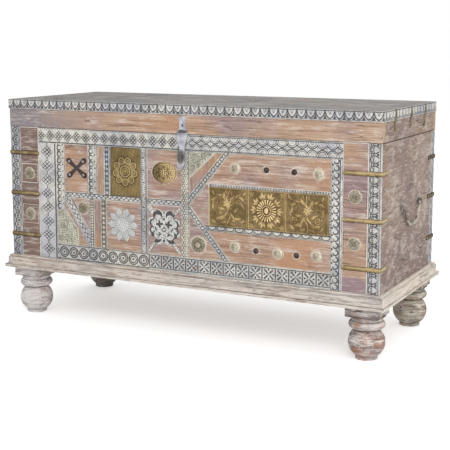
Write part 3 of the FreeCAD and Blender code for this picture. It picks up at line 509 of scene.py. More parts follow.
STRAP_BRASS = AgedMetal(
    "strap brass", (120, 101, 66), (172, 150, 108), (92, 78, 50), (42, 34, 22), 0.5, 0.46, 0.4, 40.0
)
BOSS_BRASS = AgedMetal("boss brass", (162, 150, 126), (207, 198, 178), (120, 104, 76), (62, 54, 42), 0.3, 0.5, 0.5)
IRON = AgedMetal("iron", (52, 44, 44), (86, 76, 74), (84, 62, 50), (26, 22, 22), 0.55, 0.55, 0.5)
CROSS_IRON = replace(IRON, name="cross iron", lift=88)
HANDLE_IRON = AgedMetal(
    "handle iron", (104, 92, 86), (192, 182, 170), (98, 84, 74), (44, 38, 36), 0.25, 0.45, 0.3, 60.0
)
# Its listed places put painted shade on the hasp's plate, arm and staple.
PALE_IRON = AgedMetal(
    "pale iron", (158, 156, 166), (214, 214, 220), (92, 88, 94), (40, 38, 42), 0.2, 0.55, 0.5, 60.0, 0.5,
    ((9.8, 577.0, 4.0, 4.5), (9.8, 561.0, 22.0, 6.0), (9.8, 494.0, 15.0, 24.0), (0.0, 512.0, 5.0, 14.0)),
)
WHITE_METAL = AgedMetal(
    "white metal", (198, 199, 197), (226, 227, 225), (172, 167, 160), (80, 80, 84), 0.05, 0.55, 0.5, 50.0
)
BLACK_AND_WHITE = AgedMetal(
    "pierced metal", (204, 202, 197), (222, 222, 220), (160, 152, 146), (26, 26, 30), 0.05, 0.55, 0.4, 50.0
)


# ---------------------------------------------------------------- surfaces


@dataclass(frozen=True)
class Plane:
    """A flat side of the chest, with its own right, up and outward directions."""

    origin: tuple[float, float, float]
    across: tuple[float, float, float]
    up: tuple[float, float, float] = (0.0, 0.0, 1.0)

    def place(self, u: Array, v: Array, out: Array) -> Array:
        """Points in space: origin + u * across + v * up + out * (across x up).

        Args:
            u: Distances to the right.
            v: Distances up.
            out: Distances in front of the plane.

        Returns:
            One row of x, y, z for each.
        """
        across, up = np.array(self.across), np.array(self.up)
        outward = np.cross(across, up)
        u, v, out = np.broadcast_arrays(u, v, out)
        whole = np.array(self.origin) + u[..., None] * across + v[..., None] * up + out[..., None] * outward
        return whole.reshape(-1, 3)


HALF_LENGTH, HALF_DEPTH = 565.0, 225.0
LID_OVERHANG = 3.0
FRONT = Plane((0, -HALF_DEPTH, 0), (1, 0, 0))
LID_FRONT = Plane((0, -HALF_DEPTH - LID_OVERHANG, 0), (1, 0, 0))
RIGHT = Plane((HALF_LENGTH, 0, 0), (0, 1, 0))
LEFT = Plane((-HALF_LENGTH, 0, 0), (0, -1, 0))
LID_RIGHT = Plane((HALF_LENGTH + LID_OVERHANG, 0, 0), (0, 1, 0))
LID_LEFT = Plane((-HALF_LENGTH - LID_OVERHANG, 0, 0), (0, -1, 0))
BACK = -7.0
PANEL = -3.0
SHARP_ANGLE = 50.0
RIM_WEAR = 3.4
FINE = (0.5, 1.1)
CARVED_STEP, PLAIN_STEP, RELIEF_STEP = 1.0, 2.2, 0.8
COLUMN_BOSSES = (300.8, 419.5)


def smooth(low: float, high: float, value: Array) -> Array:
    """0 below low, 1 above high, and 3t^2 - 2t^3 between."""
    t = np.clip((value - low) / (high - low), 0, 1)
    return t * t * (3 - 2 * t)


def groove(distance: Array, half: float, soft: float = 0.55) -> Array:
    """1 within half a width of a line, falling to 0 outside it."""
    return 1 - smooth(half - soft, half + soft, np.abs(distance))


def repeat(along: Array, pitch: float, start: float = 0.0) -> Array:
    """Distance from the middle of the nearest of the shapes that repeat along a strip."""
    return (np.mod((along - start) / pitch, 1.0) - 0.5) * pitch


def halfway(along: Array, pitch: float) -> Array:
    """Distance from the middle of the nearest gap between the shapes that repeat along a strip."""
    return repeat(along, pitch, pitch / 2)


def dome(square: Array) -> Array:
    """A round swelling, sqrt(1 - q) of the square q of the distance from its middle, and 0 outside it."""
    return np.sqrt(np.clip(1 - square, 0, 1))


def rounded(gap: Array, drop: float, reach: float) -> Array:
    """How far a rounded edge falls back: by drop at the edge itself, and by 0 from a distance on."""
    return drop * (1 - smooth(0.0, reach, gap))


def ring(x: Array, y: Array, radius: float, half: float) -> Array:
    """1 on a ring round the origin of x and y."""
    return groove(np.hypot(x, y) - radius, half)


def disc(x: Array, y: Array, radius: float) -> Array:
    """1 inside a circle round the origin of x and y."""
    return 1 - smooth(radius - 0.55, radius + 0.55, np.hypot(x, y))


def most(*fields: Array) -> Array:
    """The largest of several fields at each point."""
    return np.maximum.reduce(np.broadcast_arrays(*fields))


def edge_distance(u: Array, v: Array, outline: Array) -> Array:
    """How far each point is from the nearest edge of an outline: |p - a - k(b - a)|, with k from 0 to 1.

    Args:
        u: Distances to the right.
        v: Distances up.
        outline: The outline's corners, in order round it.

    Returns:
        The distances.
    """
    nearest = np.full(u.shape, 1e9)
    for a, b in zip(outline, np.roll(outline, -1, axis=0)):
        run = b - a
        size = float(run @ run)
        if size < 1e-9:
            continue
        k = np.clip(((u - a[0]) * run[0] + (v - a[1]) * run[1]) / size, 0, 1)
        nearest = np.minimum(nearest, np.hypot(u - a[0] - k * run[0], v - a[1] - k * run[1]))
    return nearest


def spaced(length: float, step: float, fine: tuple[float, ...] = ()) -> Array:
    """Parameters from 0 to 1 with even steps, and extra ones close to both ends.

    Args:
        length: The real length.
        step: The largest step.
        fine: Distances from each end of the extra ones.

    Returns:
        Rising parameters.
    """
    ends = [f for f in fine if f < length * 0.4]
    inner = ends[-1] if ends else 0.0
    count = max(1, math.ceil((length - 2 * inner) / step))
    whole = np.linspace(inner, length - inner, count + 1)
    if ends:
        whole = np.concatenate([[0.0], ends[:-1], whole, [length - f for f in ends[-2::-1]], [length]])
    return whole / length


@dataclass
class Shell:
    """Points, faces and painted values of one piece, gathered before they become a mesh."""

    points: list[Array] = field(default_factory=list)
    recess: list[Array] = field(default_factory=list)
    edge: list[Array] = field(default_factory=list)
    faces: list[list[int]] = field(default_factory=list)
    count: int = 0
    pointed: bool = False

    def add(self, points: Array, recess: Array, edge: Array) -> int:
        """Adds points and their values.

        Args:
            points: Rows of x, y, z in millimetres.
            recess: How deep each lies in the carving, 0 to 1.
            edge: How near each is to the piece's edge, 0 to 1.

        Returns:
            The number of the first of them.
        """
        first = self.count
        self.points.append(points)
        self.recess.append(np.broadcast_to(recess, len(points)))
        self.edge.append(np.broadcast_to(edge, len(points)))
        self.count += len(points)
        return first

    def mesh(self, name: str) -> bpy.types.Object:
        """Makes the mesh, smooth but for its sharp edges.

        Args:
            name: The piece's name.

        Returns:
            The new object, at the origin.
        """
        mesh = bpy.data.meshes.new(name)
        mesh.from_pydata(np.concatenate(self.points) * MILLIMETRE, [], self.faces)
        for label, values in (("recess", self.recess), ("edge", self.edge)):
            layer = mesh.attributes.new(label, "FLOAT", "POINT")
            layer.data.foreach_set("value", np.concatenate(values).astype(np.float32))
        if self.pointed:
            self._drop_loose(mesh)
        mesh.validate()
        mesh.polygons.foreach_set("use_smooth", np.ones(len(mesh.polygons), dtype=bool))
        mesh.set_sharp_from_angle(angle=math.radians(SHARP_ANGLE))
        made = bpy.data.objects.new(name, mesh)
        bpy.context.scene.collection.objects.link(made)
        return made

    @staticmethod
    def _drop_loose(mesh: bpy.types.Mesh) -> None:
        """Removes the points that no face uses, left where a row of a slab runs to one point."""
        edited = bmesh.new()
        edited.from_mesh(mesh)
        bmesh.ops.delete(edited, geom=[v for v in edited.verts if not v.link_faces], context="VERTS")
        edited.to_mesh(mesh)
        edited.free()


@dataclass(frozen=True)
class Outline:
    """A flat shape ruled between a left and a right line that have the same number of points."""

    left: tuple[Point, ...]
    right: tuple[Point, ...]

    def corners(self) -> Array:
        """The outline's points, anticlockwise."""
        return np.array(self.right + self.left[::-1])


def rectangle(x0: float, x1: float, z0: float, z1: float) -> Outline:
    """An upright rectangle."""
    return Outline(((x0, z0), (x0, z1)), ((x1, z0), (x1, z1)))


def slab(
    shell: Shell, plane: Plane, shape: Outline, relief: Relief, back: float, step: float, fine: tuple = FINE
) -> None:
    """Adds a closed slab with a carved face.

    A point of the face is (1 - u) * left(v) + u * right(v), moved out by the relief there. Walls
    run from its rim to a flat back.

    Args:
        shell: The piece that it belongs to.
        plane: The side of the chest that it lies on.
        shape: Its outline.
        relief: Gives the distance out and the recess from x, z and the distance to the edge.
        back: Where its back lies, as a distance out.
        step: The largest step of the grid.
        fine: Extra grid lines at these distances from the edges.
    """
    left, right = np.array(shape.left, float), np.array(shape.right, float)
    runs = [max(np.hypot(*a), np.hypot(*b)) for a, b in zip(np.diff(left, axis=0), np.diff(right, axis=0))]
    v = []
    for number, run in enumerate(runs):
        part = spaced(run, step, fine if len(runs) == 1 else ())
        v.append(number + (part if number == 0 else part[1:]))
    v = np.concatenate(v)
    knots = np.arange(len(left))
    width = max(np.hypot(*(b - a)) for a, b in zip(left, right))
    u = spaced(width, step, fine)[None, :]
    ends = [np.interp(v, knots, line[:, axis])[:, None] for line in (left, right) for axis in (0, 1)]
    x = (1 - u) * ends[0] + u * ends[2]
    z = (1 - u) * ends[1] + u * ends[3]
    gap = edge_distance(x, z, shape.corners())
    out, recess = relief(x, z, gap)
    near = 1 - smooth(0.0, RIM_WEAR, gap)
    face = shell.add(plane.place(x, z, out), recess.ravel(), near.ravel())
    rows, columns = x.shape
    rim = shell.add(plane.place(x[:, [0, -1]], z[:, [0, -1]], np.full((rows, 2), back)), 0.6, 0.0)
    grid = face + np.arange(rows * columns).reshape(rows, columns)
    low = rim + np.arange(rows * 2).reshape(rows, 2)
    tips = np.hypot(x[:, 0] - x[:, -1], z[:, 0] - z[:, -1]) < 1e-6
    grid[tips] = grid[tips][:, :1]
    low[tips] = low[tips][:, :1]
    shell.pointed = shell.pointed or bool(tips.any())
    quads = [
        np.stack([grid[:-1, :-1], grid[:-1, 1:], grid[1:, 1:], grid[1:, :-1]], -1).reshape(-1, 4),
        np.stack([grid[:-1, 0], grid[1:, 0], low[1:, 0], low[:-1, 0]], -1),
        np.stack([grid[1:, -1], grid[:-1, -1], low[:-1, 1], low[1:, 1]], -1),
        np.stack([low[:-1, 1], low[:-1, 0], low[1:, 0], low[1:, 1]], -1),
    ]
    whole = np.concatenate(quads)
    folded = (whole == np.roll(whole, 1, axis=1)).any(axis=1)
    shell.faces += whole[~folded].tolist()
    ends = [[*grid[0, ::-1].tolist(), *low[0].tolist()], [*grid[-1].tolist(), *low[-1, ::-1].tolist()]]
    tidy = [list(dict.fromkeys(face)) for face in whole[folded].tolist() + ends]
    shell.faces += [face for face in tidy if len(face) > 2]


def roundel(
    shell: Shell, centre: Point, reach: Callable[[Array], Array], profile: Callable[[Array, Array], Pair],
    back: float, steps: tuple[int, int],
) -> None:
    """Adds a closed round or lobed head.

    A point of it is centre + share * reach(angle) * (cos, sin), moved out by the profile there.

    Args:
        shell: The piece that it belongs to.
        centre: Its middle on the front.
        reach: The distance from the middle to the rim at each angle.
        profile: Gives the distance out and the recess from the share and the angle.
        back: Where its back lies, as a distance out.
        steps: How many lie between the middle and the rim, and how many lie round it.
    """
    rings, spokes = steps
    angle = np.linspace(0, math.tau, spokes, endpoint=False)[None, :]
    share = (np.arange(1, rings + 1) / rings)[:, None]
    far = share * reach(angle)
    x, z = centre[0] + far * np.cos(angle), centre[1] + far * np.sin(angle)
    out, recess = profile(np.broadcast_to(share, x.shape), np.broadcast_to(angle, x.shape))
    middle_out, middle_recess = profile(np.zeros((1, 1)), np.zeros((1, 1)))
    middle = shell.add(FRONT.place(*np.array(centre)[:, None, None], middle_out), middle_recess.ravel(), 0.0)
    face = shell.add(FRONT.place(x, z, out), recess.ravel(), 0.0)
    under = shell.add(FRONT.place(x[-1:], z[-1:], np.full((1, spokes), back)), 0.8, 0.0)
    grid = face + np.arange(rings * spokes).reshape(rings, spokes)
    turned = np.roll(grid, -1, axis=1)
    low = under + np.arange(spokes)
    fan = np.stack([np.full(spokes, middle), grid[0], turned[0]], -1)
    quads = np.concatenate([
        np.stack([grid[:-1], grid[1:], turned[1:], turned[:-1]], -1).reshape(-1, 4),
        np.stack([grid[-1], low, np.roll(low, -1), turned[-1]], -1),
    ])
    shell.faces += fan.tolist() + quads.tolist() + [low[::-1].tolist()]


# ---------------------------------------------------------------- carved patterns
# Each takes s along a strip and t across it, and gives 1 where the wood is left standing and 0
# where it is cut away.


def checker_lozenge(ds: Array, dt: Array, half_s: float, half_t: float, cells: int, line: float) -> Array:
    """A lozenge |ds|/half_s + |dt|/half_t <= 1, cut into small cells by lines parallel to its sides.

    Args:
        ds: Distances from its middle along the strip.
        dt: Distances from its middle across the strip.
        half_s: Its half length.
        half_t: Its half height.
        cells: How many cells stand along a side.
        line: Half the width of the cuts.

    Returns:
        1 where the wood stands and 0 where it is cut.
    """
    a, b = ds / half_s + dt / half_t, ds / half_s - dt / half_t
    spread = half_s * half_t / math.hypot(half_s, half_t)
    cut = np.zeros_like(ds)
    for side in (a, b):
        q = (side + 1) * cells / 2
        cut = most(cut, groove((q - np.round(q)) * 2 / cells * spread, line))
    inside = smooth(1.06, 0.98, most(abs(a), abs(b)))
    return 1 - inside * cut


def lozenge_lattice(s: Array, t: Array, width: float) -> Array:
    """Tall strip at the left: wide lozenges of nine cells, linked tip to tip, beside a dark line."""
    ds, dt = repeat(s, 40.0, 8.0), t - width * 0.48
    body = checker_lozenge(ds, dt, 17.0, 21.0, 3, 1.0)
    link = groove(dt, 1.1) * smooth(15.5, 16.5, abs(ds))
    side = groove(t - width + 4.0, 2.2, 1.2) * 0.85
    return 1 - most(1 - body, link, side, groove(t - 4.0, 0.7) * 0.35)


def lozenge_triangles(s: Array, t: Array, width: float) -> Array:
    """Top strip, left part: lozenges of nine white cells in dark lines, between rows of white triangles."""
    ds, dt = repeat(s, 31.0, 4.0), t - width * 0.48
    body = checker_lozenge(ds, dt, 15.4, 15.6, 3, 1.15)
    specks = disc(repeat(s, 7.4), t - width + 3.6, 1.4) * 0.7
    rails = most(groove(t - 3.2, 1.5, 1.0) * 0.9, specks, groove(t - width + 0.8, 0.8) * 0.6)
    return 1 - most(1 - body, rails)


def lattice_arcs(s: Array, t: Array, width: float) -> Array:
    """Top strip, right part: white four-pointed shapes left between double arcs about the corners of a grid."""
    pitch = 27.5
    ds, dt = repeat(s, pitch), t - width * 0.50
    near, far = halfway(s, pitch), abs(t - width * 0.50) - 17.0
    arcs = most(ring(near, far, 15.4, 1.25), ring(near, far, 11.0, 0.8) * 0.8, ring(near, far, 4.4, 0.9) * 0.5)
    veins = groove(ds, 0.7) * groove(dt, 5.0) * 0.7
    rails = most(groove(far - 1.6, 0.8), groove(far - 4.2, 0.6) * 0.5)
    return 1 - most(arcs * smooth(1.0, 0.0, far), veins, rails)


def open_rings(s: Array, t: Array, width: float) -> Array:
    """Strip at the right: a chain of open rings beside a plain band."""
    pitch, mid = 17.8, width * 0.42
    ds, dt = repeat(s, pitch), t - mid
    open_side = (ds - dt) * 0.7
    cut = groove(np.hypot(ds, dt) - 6.9, 1.5) * smooth(5.6, 3.4, open_side)
    hooks = most(disc(halfway(s, pitch), t - 3.2, 2.5), disc(ds + 1.0, dt + 1.0, 1.0) * 0.4)
    band = most(groove(t - width * 0.76, 1.1), groove(t - width + 1.4, 0.6) * 0.6)
    return 1 - most(cut * smooth(-10.0, -5.0, dt), hooks, band, groove(t - 1.2, 0.7) * 0.7)


def double_circles(s: Array, t: Array, width: float) -> Array:
    """Bottom strip, left part: dark dots in two dark rings with rays between them, and wedges in the gaps."""
    pitch, mid = 33.3, width * 0.52
    ds, dt = repeat(s, pitch), t - mid
    far = np.hypot(ds, dt)
    circle = most(groove(far - 14.4, 1.5), groove(far - 9.0, 1.2), disc(ds, dt, 3.0), groove(far - 12.0, 2.6) * 0.22)
    rays = groove(repeat(np.arctan2(dt, ds), math.pi / 7) * 11.5, 0.8) * groove(far - 11.8, 2.2)
    gap = halfway(s, pitch)
    wedge = smooth(8.0, 6.0, abs(gap) * 1.4 + (18.0 - abs(dt))) * smooth(15.5, 17.0, far)
    edges = most(groove(t - width + 2.0, 1.0), groove(t - 3.4, 1.2))
    return 1 - most(circle, rays * 0.45, wedge * 0.3, edges * 0.9)


def crossed_blocks(s: Array, t: Array, width: float) -> Array:
    """Bottom strip, right part: blocks of a forked cross with dark wedges at its sides, between dark bars."""
    pitch, mid = 38.0, width * 0.53
    ds, dt = repeat(s, pitch), t - mid
    angle, far = np.arctan2(dt, ds), np.hypot(ds, dt)
    slant = abs(repeat(angle, math.pi / 2) * far)
    arms = smooth(0.6, -0.6, slant - 0.9 - 0.10 * far) * smooth(3.0, 4.5, far) * smooth(20.0, 17.5, far)
    arms = arms * (1 - 0.9 * groove(slant, 0.6, 0.5) * smooth(10.0, 12.0, far))
    wedges = smooth(0.6, -0.6, abs(dt) - 0.45 * (abs(ds) - 8.0)) * smooth(14.8, 13.8, abs(ds))
    notches = 1 - smooth(0.8, 1.15, np.hypot(ds / 2.4, (abs(dt) - 12.5) / 3.2))
    bars = groove(halfway(s, pitch), 1.6)
    edges = most(groove(dt - 17.0, 0.9), groove(dt + 17.0, 0.8))
    return 1 - most(groove(dt, 15.0) * most(arms, wedges, notches * 0.8, bars, disc(ds, dt, 1.6)), edges)


def pearls(s: Array, t: Array, width: float) -> Array:
    """A chain of pearls in rings that thin out on one side, with a row of dots beside them."""
    pitch = 18.6
    ds, dt = repeat(s, pitch), t - width * 0.38
    thick = 1.0 + 0.9 * smooth(3.0, -5.0, dt)
    rings = groove(np.hypot(ds * 0.92, dt) - 6.4, thick) * (1 - 0.5 * smooth(2.0, 6.0, dt))
    dots = disc(halfway(s + 1.5, pitch), t - width * 0.80, 2.1)
    links = disc(halfway(s, pitch), dt + 5.4, 1.6)
    return 1 - most(rings, dots * 0.9, links * 0.8, groove(t - width + 1.0, 0.7) * 0.5)


def double_pearls(s: Array, t: Array, width: float) -> Array:
    """Two chains of small rings with light middles, and dots between them."""
    pitch = 13.5
    first = ring(repeat(s, pitch), t - width * 0.30, 3.9, 0.9)
    second = ring(halfway(s, pitch), t - width * 0.70, 3.9, 0.85) * 0.7
    dots = disc(halfway(s, pitch), t - width * 0.26, 1.4)
    more = disc(repeat(s, pitch), t - width * 0.74, 1.1) * 0.6
    return 1 - most(first, second, dots, more, groove(t - width + 1.0, 0.7) * 0.8, groove(t - 0.8, 0.6) * 0.6)


def ringed_band(s: Array, t: Array, width: float) -> Array:
    """A slanted band: rings with bright middles, dots between them, and a beaded dark line."""
    pitch, mid = 19.0, width * 0.48
    ds, dt = repeat(s, pitch), t - mid
    chain = most(ring(ds, dt, 5.4, 1.0), disc(halfway(s, pitch), abs(dt) - 3.6, 1.4) * 0.8)
    line = groove(t - width * 0.84, 0.9) * (0.4 + 0.6 * groove(repeat(s, 5.2), 1.3))
    return 1 - most(chain, line, groove(t - 3.0, 0.8) * 0.8)


def small_scroll(s: Array, t: Array, width: float) -> Array:
    """A running scroll: a wave of t = A sin(2 pi s / pitch), with a curl in each bend."""
    pitch = 15.5
    mid, swing = width / 2, width * 0.15
    wave = t - mid - swing * np.sin(math.tau * s / pitch)
    slope = np.sqrt(1 + (swing * math.tau / pitch * np.cos(math.tau * s / pitch)) ** 2)
    line = groove(wave / slope, 0.9)
    low, high = repeat(s, pitch, pitch * 0.75), repeat(s, pitch, pitch * 0.25)
    curls = most(disc(low, t - mid - swing * 0.6, 1.9), disc(high, t - mid + swing * 0.6, 1.9))
    edges = most(groove(t - width * 0.14, 0.7), groove(t - width * 0.86, 0.7))
    flecks = disc(repeat(s, 5.2), abs(t - mid) - width * 0.24, 1.3)
    return 1 - most(line * 0.95, curls * 0.9, edges * 0.8, flecks * 0.75)


def ring_chain(s: Array, t: Array, width: float) -> Array:
    """A chain of dark rings with dots in the corners between them."""
    pitch, half = 13.4, width / 2
    rings = ring(repeat(s, pitch), t - half, 5.0, 1.2)
    corners = disc(halfway(s, pitch), abs(t - half) - 4.8, 2.2)
    edges = most(groove(t - width + 1.2, 0.8), groove(t - 1.2, 0.6))
    return 1 - most(rings, corners, edges * 0.9, disc(repeat(s, pitch), t - half, 1.2) * 0.6)


def beads(s: Array, t: Array, width: float) -> Array:
    """A row of beads with cuts between them, inside two lines."""
    pitch = 7.6
    gap = smooth(0.70, 0.90, np.hypot(repeat(s, pitch) / (pitch * 0.5), (t - width / 2) / (width * 0.33)))
    inside = groove(t - width / 2, width * 0.34)
    return 1 - most(gap * inside, groove(t - 1.4, 0.6) * 0.7, groove(t - width + 1.4, 0.6) * 0.7)


def dots_and_dashes(s: Array, t: Array, width: float) -> Array:
    """A narrow rail: running S-shaped marks and dots, inside two dark lines."""
    pitch, mid = 15.0, width / 2
    ds = repeat(s, pitch)
    bend = groove((t - mid) - width * 0.20 * np.sin(math.tau * s / pitch), 1.1)
    marks = most(bend, disc(ds - 3.7, t - mid + width * 0.16, 2.1), disc(ds + 3.7, t - mid - width * 0.16, 2.1))
    return 1 - most(marks, groove(t - 1.2, 0.7), groove(t - width + 1.4, 0.9))


def nailed_plain(s: Array, t: Array, width: float) -> Array:
    """A strip with small nails between rows of short slanted strokes, with flecks, inside two dark lines."""
    across = abs(t - width / 2)
    nails = disc(repeat(s, 34.0, 9.0), t - width / 2, 2.2)
    strokes = groove(repeat(s + 0.7 * t, 5.6), 1.1) * groove(across - width * 0.25, width * 0.14)
    flecks = disc(repeat(s, 6.8, 3.0), t - width / 2 + 2.0 * np.sin(s * 0.41), 1.5)
    return 1 - most(nails, strokes * 0.9, flecks * 0.7, groove(across - width / 2 + 1.8, 1.1) * 0.9)


def scallops(s: Array, t: Array, width: float) -> Array:
    """A row of hanging half rings under a plain line."""
    pitch = 27.0
    ds, dt = repeat(s, pitch), width - 1.5 - t
    far = np.hypot(ds / 11.5, dt / (width - 4.0))
    arcs = groove((far - 1) * 9.0, 1.0)
    gap = smooth(1.10, 1.25, far) * smooth(0.8, 2.2, t) * 0.5
    return 1 - most(arcs, gap, groove(t - width + 1.2, 0.7), disc(ds, dt - 3.0, 1.3) * 0.6, groove(t - 0.9, 0.6) * 0.7)


def leaf_lobes(s: Array, t: Array, width: float) -> Array:
    """Corner strip: leaf lobes with two eyes each, inside a wavy line and two plain edges."""
    pitch = 25.0
    ds, dt = repeat(s, pitch), t - width * 0.28
    lobe = np.hypot(ds / 10.6, np.maximum(dt, 0) / (width * 0.48))
    outer = groove((lobe - 1) * 9.0, 1.1) * smooth(-1.0, 0.5, dt)
    inner = groove((lobe - 0.52) * 9.0, 0.7) * smooth(-1.0, 0.5, dt)
    eyes = most(disc(abs(ds) - 5.4, dt - 3.0, 1.6), disc(ds, dt - width * 0.27, 1.3))
    vein = groove(ds, 0.9) * groove(dt - width * 0.16, width * 0.10)
    gaps = disc(halfway(s, pitch), dt - width * 0.36, 2.3)
    wave = groove(t - width * 0.18 - 1.6 * np.cos(math.tau * s / pitch), 0.8)
    edges = most(groove(t - width * 0.06, 0.6), groove(t - width * 0.86, 0.8), groove(t - width * 0.95, 0.5) * 0.5)
    return 1 - most(outer, inner * 0.85, eyes, vein, gaps, wave, edges)


def heart_lobes(s: Array, t: Array, width: float) -> Array:
    """Corner strip: plain white hearts with dots between them, beside small dark hooks and a dark line."""
    pitch = 25.0
    ds, dt = repeat(s, pitch), t - width * 0.28
    lobe = np.hypot(ds / 10.6, np.maximum(dt, 0) / (width * 0.50))
    outer = groove((lobe - 1) * 9.0, 1.0) * smooth(-1.0, 0.5, dt) * (0.35 + 0.65 * smooth(3.0, 7.0, abs(ds)))
    hooks = most(ring(abs(ds) - 6.2, dt - 1.4, 2.6, 0.9), disc(ds, dt - 2.2, 1.8))
    gaps = disc(halfway(s, pitch), dt - width * 0.40, 3.0)
    wave = groove(t - width * 0.16 - 1.0 * np.cos(math.tau * s / pitch), 1.1)
    edges = most(groove(t - width * 0.05, 0.6), groove(t - width * 0.86, 0.8) * 0.7)
    return 1 - most(outer, hooks * 0.9, gaps, wave, edges)


def niche_leaves(s: Array, t: Array, width: float) -> Array:
    """Lid strip: cups open at the top with a bud in each, dark spades between them, over a scalloped line."""
    pitch = 25.4
    ds, dt = repeat(s, pitch), width * 0.84 - t
    lobe = ((abs(ds) / 11.4) ** 1.8 + (np.maximum(dt, 0) / (width * 0.63)) ** 1.8) ** (1 / 1.8)
    cup = groove((lobe - 1) * 9.0, 0.9) * smooth(-0.5, 0.5, dt)
    gap, height = halfway(s, pitch), np.clip((t / width - 0.16) / 0.44, 0, 1)
    spade = smooth(0.7, -0.7, abs(gap) - 4.6 * (1 - height)) * smooth(0.13, 0.18, t / width)
    stem = groove(gap, 0.8) * smooth(0.5, 0.6, t / width)
    bud = groove(abs(ds) - 3.4 * (t / width - 0.5) / 0.34, 0.7) * groove(t / width - 0.68, 0.17, 0.02)
    line = groove(t - width * 0.08 - 1.4 * abs(np.cos(math.pi * s / pitch)), 0.9)
    return 1 - most(cup, spade * 0.8, stem * 0.85, bud * 0.8, line * 0.7, groove(t - width * 0.92, 1.0))


class Carving(Enum):
    """The patterns, with how deep each is cut."""

    LATTICE = (lozenge_lattice, 1.7)
    TRIANGLES = (lozenge_triangles, 1.7)
    ARCS = (lattice_arcs, 1.8)
    RINGS = (open_rings, 2.0)
    CIRCLES = (double_circles, 2.0)
    BLOCKS = (crossed_blocks, 2.0)
    PEARLS = (pearls, 1.9)
    DOUBLE_PEARLS = (double_pearls, 1.8)
    BAND = (ringed_band, 1.9)
    SCROLL = (small_scroll, 1.5)
    BEADS = (beads, 1.6)
    DASHES = (dots_and_dashes, 1.2)
    PLAIN = (nailed_plain, 1.0)
    CHAIN = (ring_chain, 1.7)
    SCALLOPS = (scallops, 1.6)
    LOBES = (leaf_lobes, 1.9)
    HEARTS = (heart_lobes, 1.9)
    NICHES = (niche_leaves, 1.5)

    def relief(self, start: Point, along: Point, width: float, face: float) -> Relief:
        """The pattern laid on a strip.

        Args:
            start: Where s and t are 0.
            along: The direction of s. t runs a quarter turn to the right of it.
            width: The strip's width.
            face: Where the strip's face lies, as a distance out.

        Returns:
            A relief whose distance out is face - depth * (1 - pattern), less a rounded edge.
        """
        pattern, depth = self.value
        size = math.hypot(*along)
        sx, sz = along[0] / size, along[1] / size

        def carve(x: Array, z: Array, gap: Array) -> Pair:
            """The pattern at x and z, with its edges rounded off."""
            s = (x - start[0]) * sx + (z - start[1]) * sz
            t = (x - start[0]) * sz - (z - start[1]) * sx
            cut = 1 - pattern(s, t, width)
            return face - depth * cut - rounded(gap, 0.8, 1.4), cut

        return carve


def plain_face(face: float, sag: float = 0.25) -> Relief:
    """The face of a plain board: flat, with worn edges and a slow wave, the product of two sines.

    Args:
        face: Where it lies, as a distance out.
        sag: How deep the wave is.

    Returns:
        Its relief.
    """

    def worn(x: Array, z: Array, gap: Array) -> Pair:
        """The board's face at x and z."""
        wave = sag * (np.sin(x * 0.043 + z * 0.021 + face) * np.sin(z * 0.087 - x * 0.012) - 1)
        away = 1.1 * (1 - smooth(0.0, 2.2, gap)) ** 2
        return face + wave * smooth(0.0, 8.0, gap) - away, np.zeros_like(x)

    return worn


# ---------------------------------------------------------------- embossed and pierced metal


def leaf(x: Array, z: Array, place: tuple[float, float, float, float, float]) -> Array:
    """A pointed leaf: sqrt(1 - (a/L)^2 - (b/w)^2) with w narrowing to the tip, and a vein cut in.

    Args:
        x: Distances to the right.
        z: Distances up.
        place: Its middle's x and z, its direction in degrees, half its length and half its width.

    Returns:
        Its height, 0 to 1.
    """
    cx, cz, turn, length, width = place
    c, s = math.cos(math.radians(turn)), math.sin(math.radians(turn))
    a, b = (x - cx) * c + (z - cz) * s, (z - cz) * c - (x - cx) * s
    bent = b + 0.12 * a * a / length
    narrow = width * (1.0 - 0.45 * np.clip(a / length, -1, 1))
    body = dome((a / length) ** 2 + (bent / narrow) ** 2)
    return body * (1 - 0.55 * groove(bent, 0.5, 0.5))


def blossom(x: Array, z: Array, centre: Point, radius: float, petals: int, turn: float = 0.0) -> Array:
    """A flower: petals where r < R (0.55 + 0.45 |cos(n angle / 2)|), with a round eye.

    Args:
        x: Distances to the right.
        z: Distances up.
        centre: Its middle.
        radius: Its reach.
        petals: How many petals it has.
        turn: The first petal's angle.

    Returns:
        Its height, 0 to 1.
    """
    dx, dz = x - centre[0], z - centre[1]
    far, angle = np.hypot(dx, dz) / radius, np.arctan2(dz, dx) - turn
    lobe = abs(np.cos(petals * angle / 2))
    reach = 0.55 + 0.45 * lobe
    body = dome((far / reach) ** 2) * (0.45 + 0.55 * lobe)
    body = body * smooth(0.20, 0.34, far)
    return most(body, dome((far / 0.24) ** 2))


def scroll_curl(x: Array, z: Array, centre: Point, radius: float, turn: float, hand: int) -> Array:
    """A volute: the ridge where r / pitch - angle / 2 pi is a whole number.

    Args:
        x: Distances to the right.
        z: Distances up.
        centre: Its middle.
        radius: Its reach.
        turn: The angle that it starts from.
        hand: 1, or -1 for its mirror image.

    Returns:
        Its height, 0 to 1.
    """
    dx, dz = (x - centre[0]) * hand, z - centre[1]
    far, angle = np.hypot(dx, dz), np.arctan2(dz, dx) - turn
    pitch = radius * 0.52
    phase = np.mod(far / pitch - angle / math.tau, 1.0) - 0.5
    return groove(phase * pitch, pitch * 0.20, 0.9) * (1 - smooth(radius * 0.86, radius, far))


def mirrored_leaves(leaves: tuple) -> tuple:
    """The same leaves and their mirror images left to right."""
    return leaves + tuple((-x, z, 180 - turn, length, width) for x, z, turn, length, width in leaves)


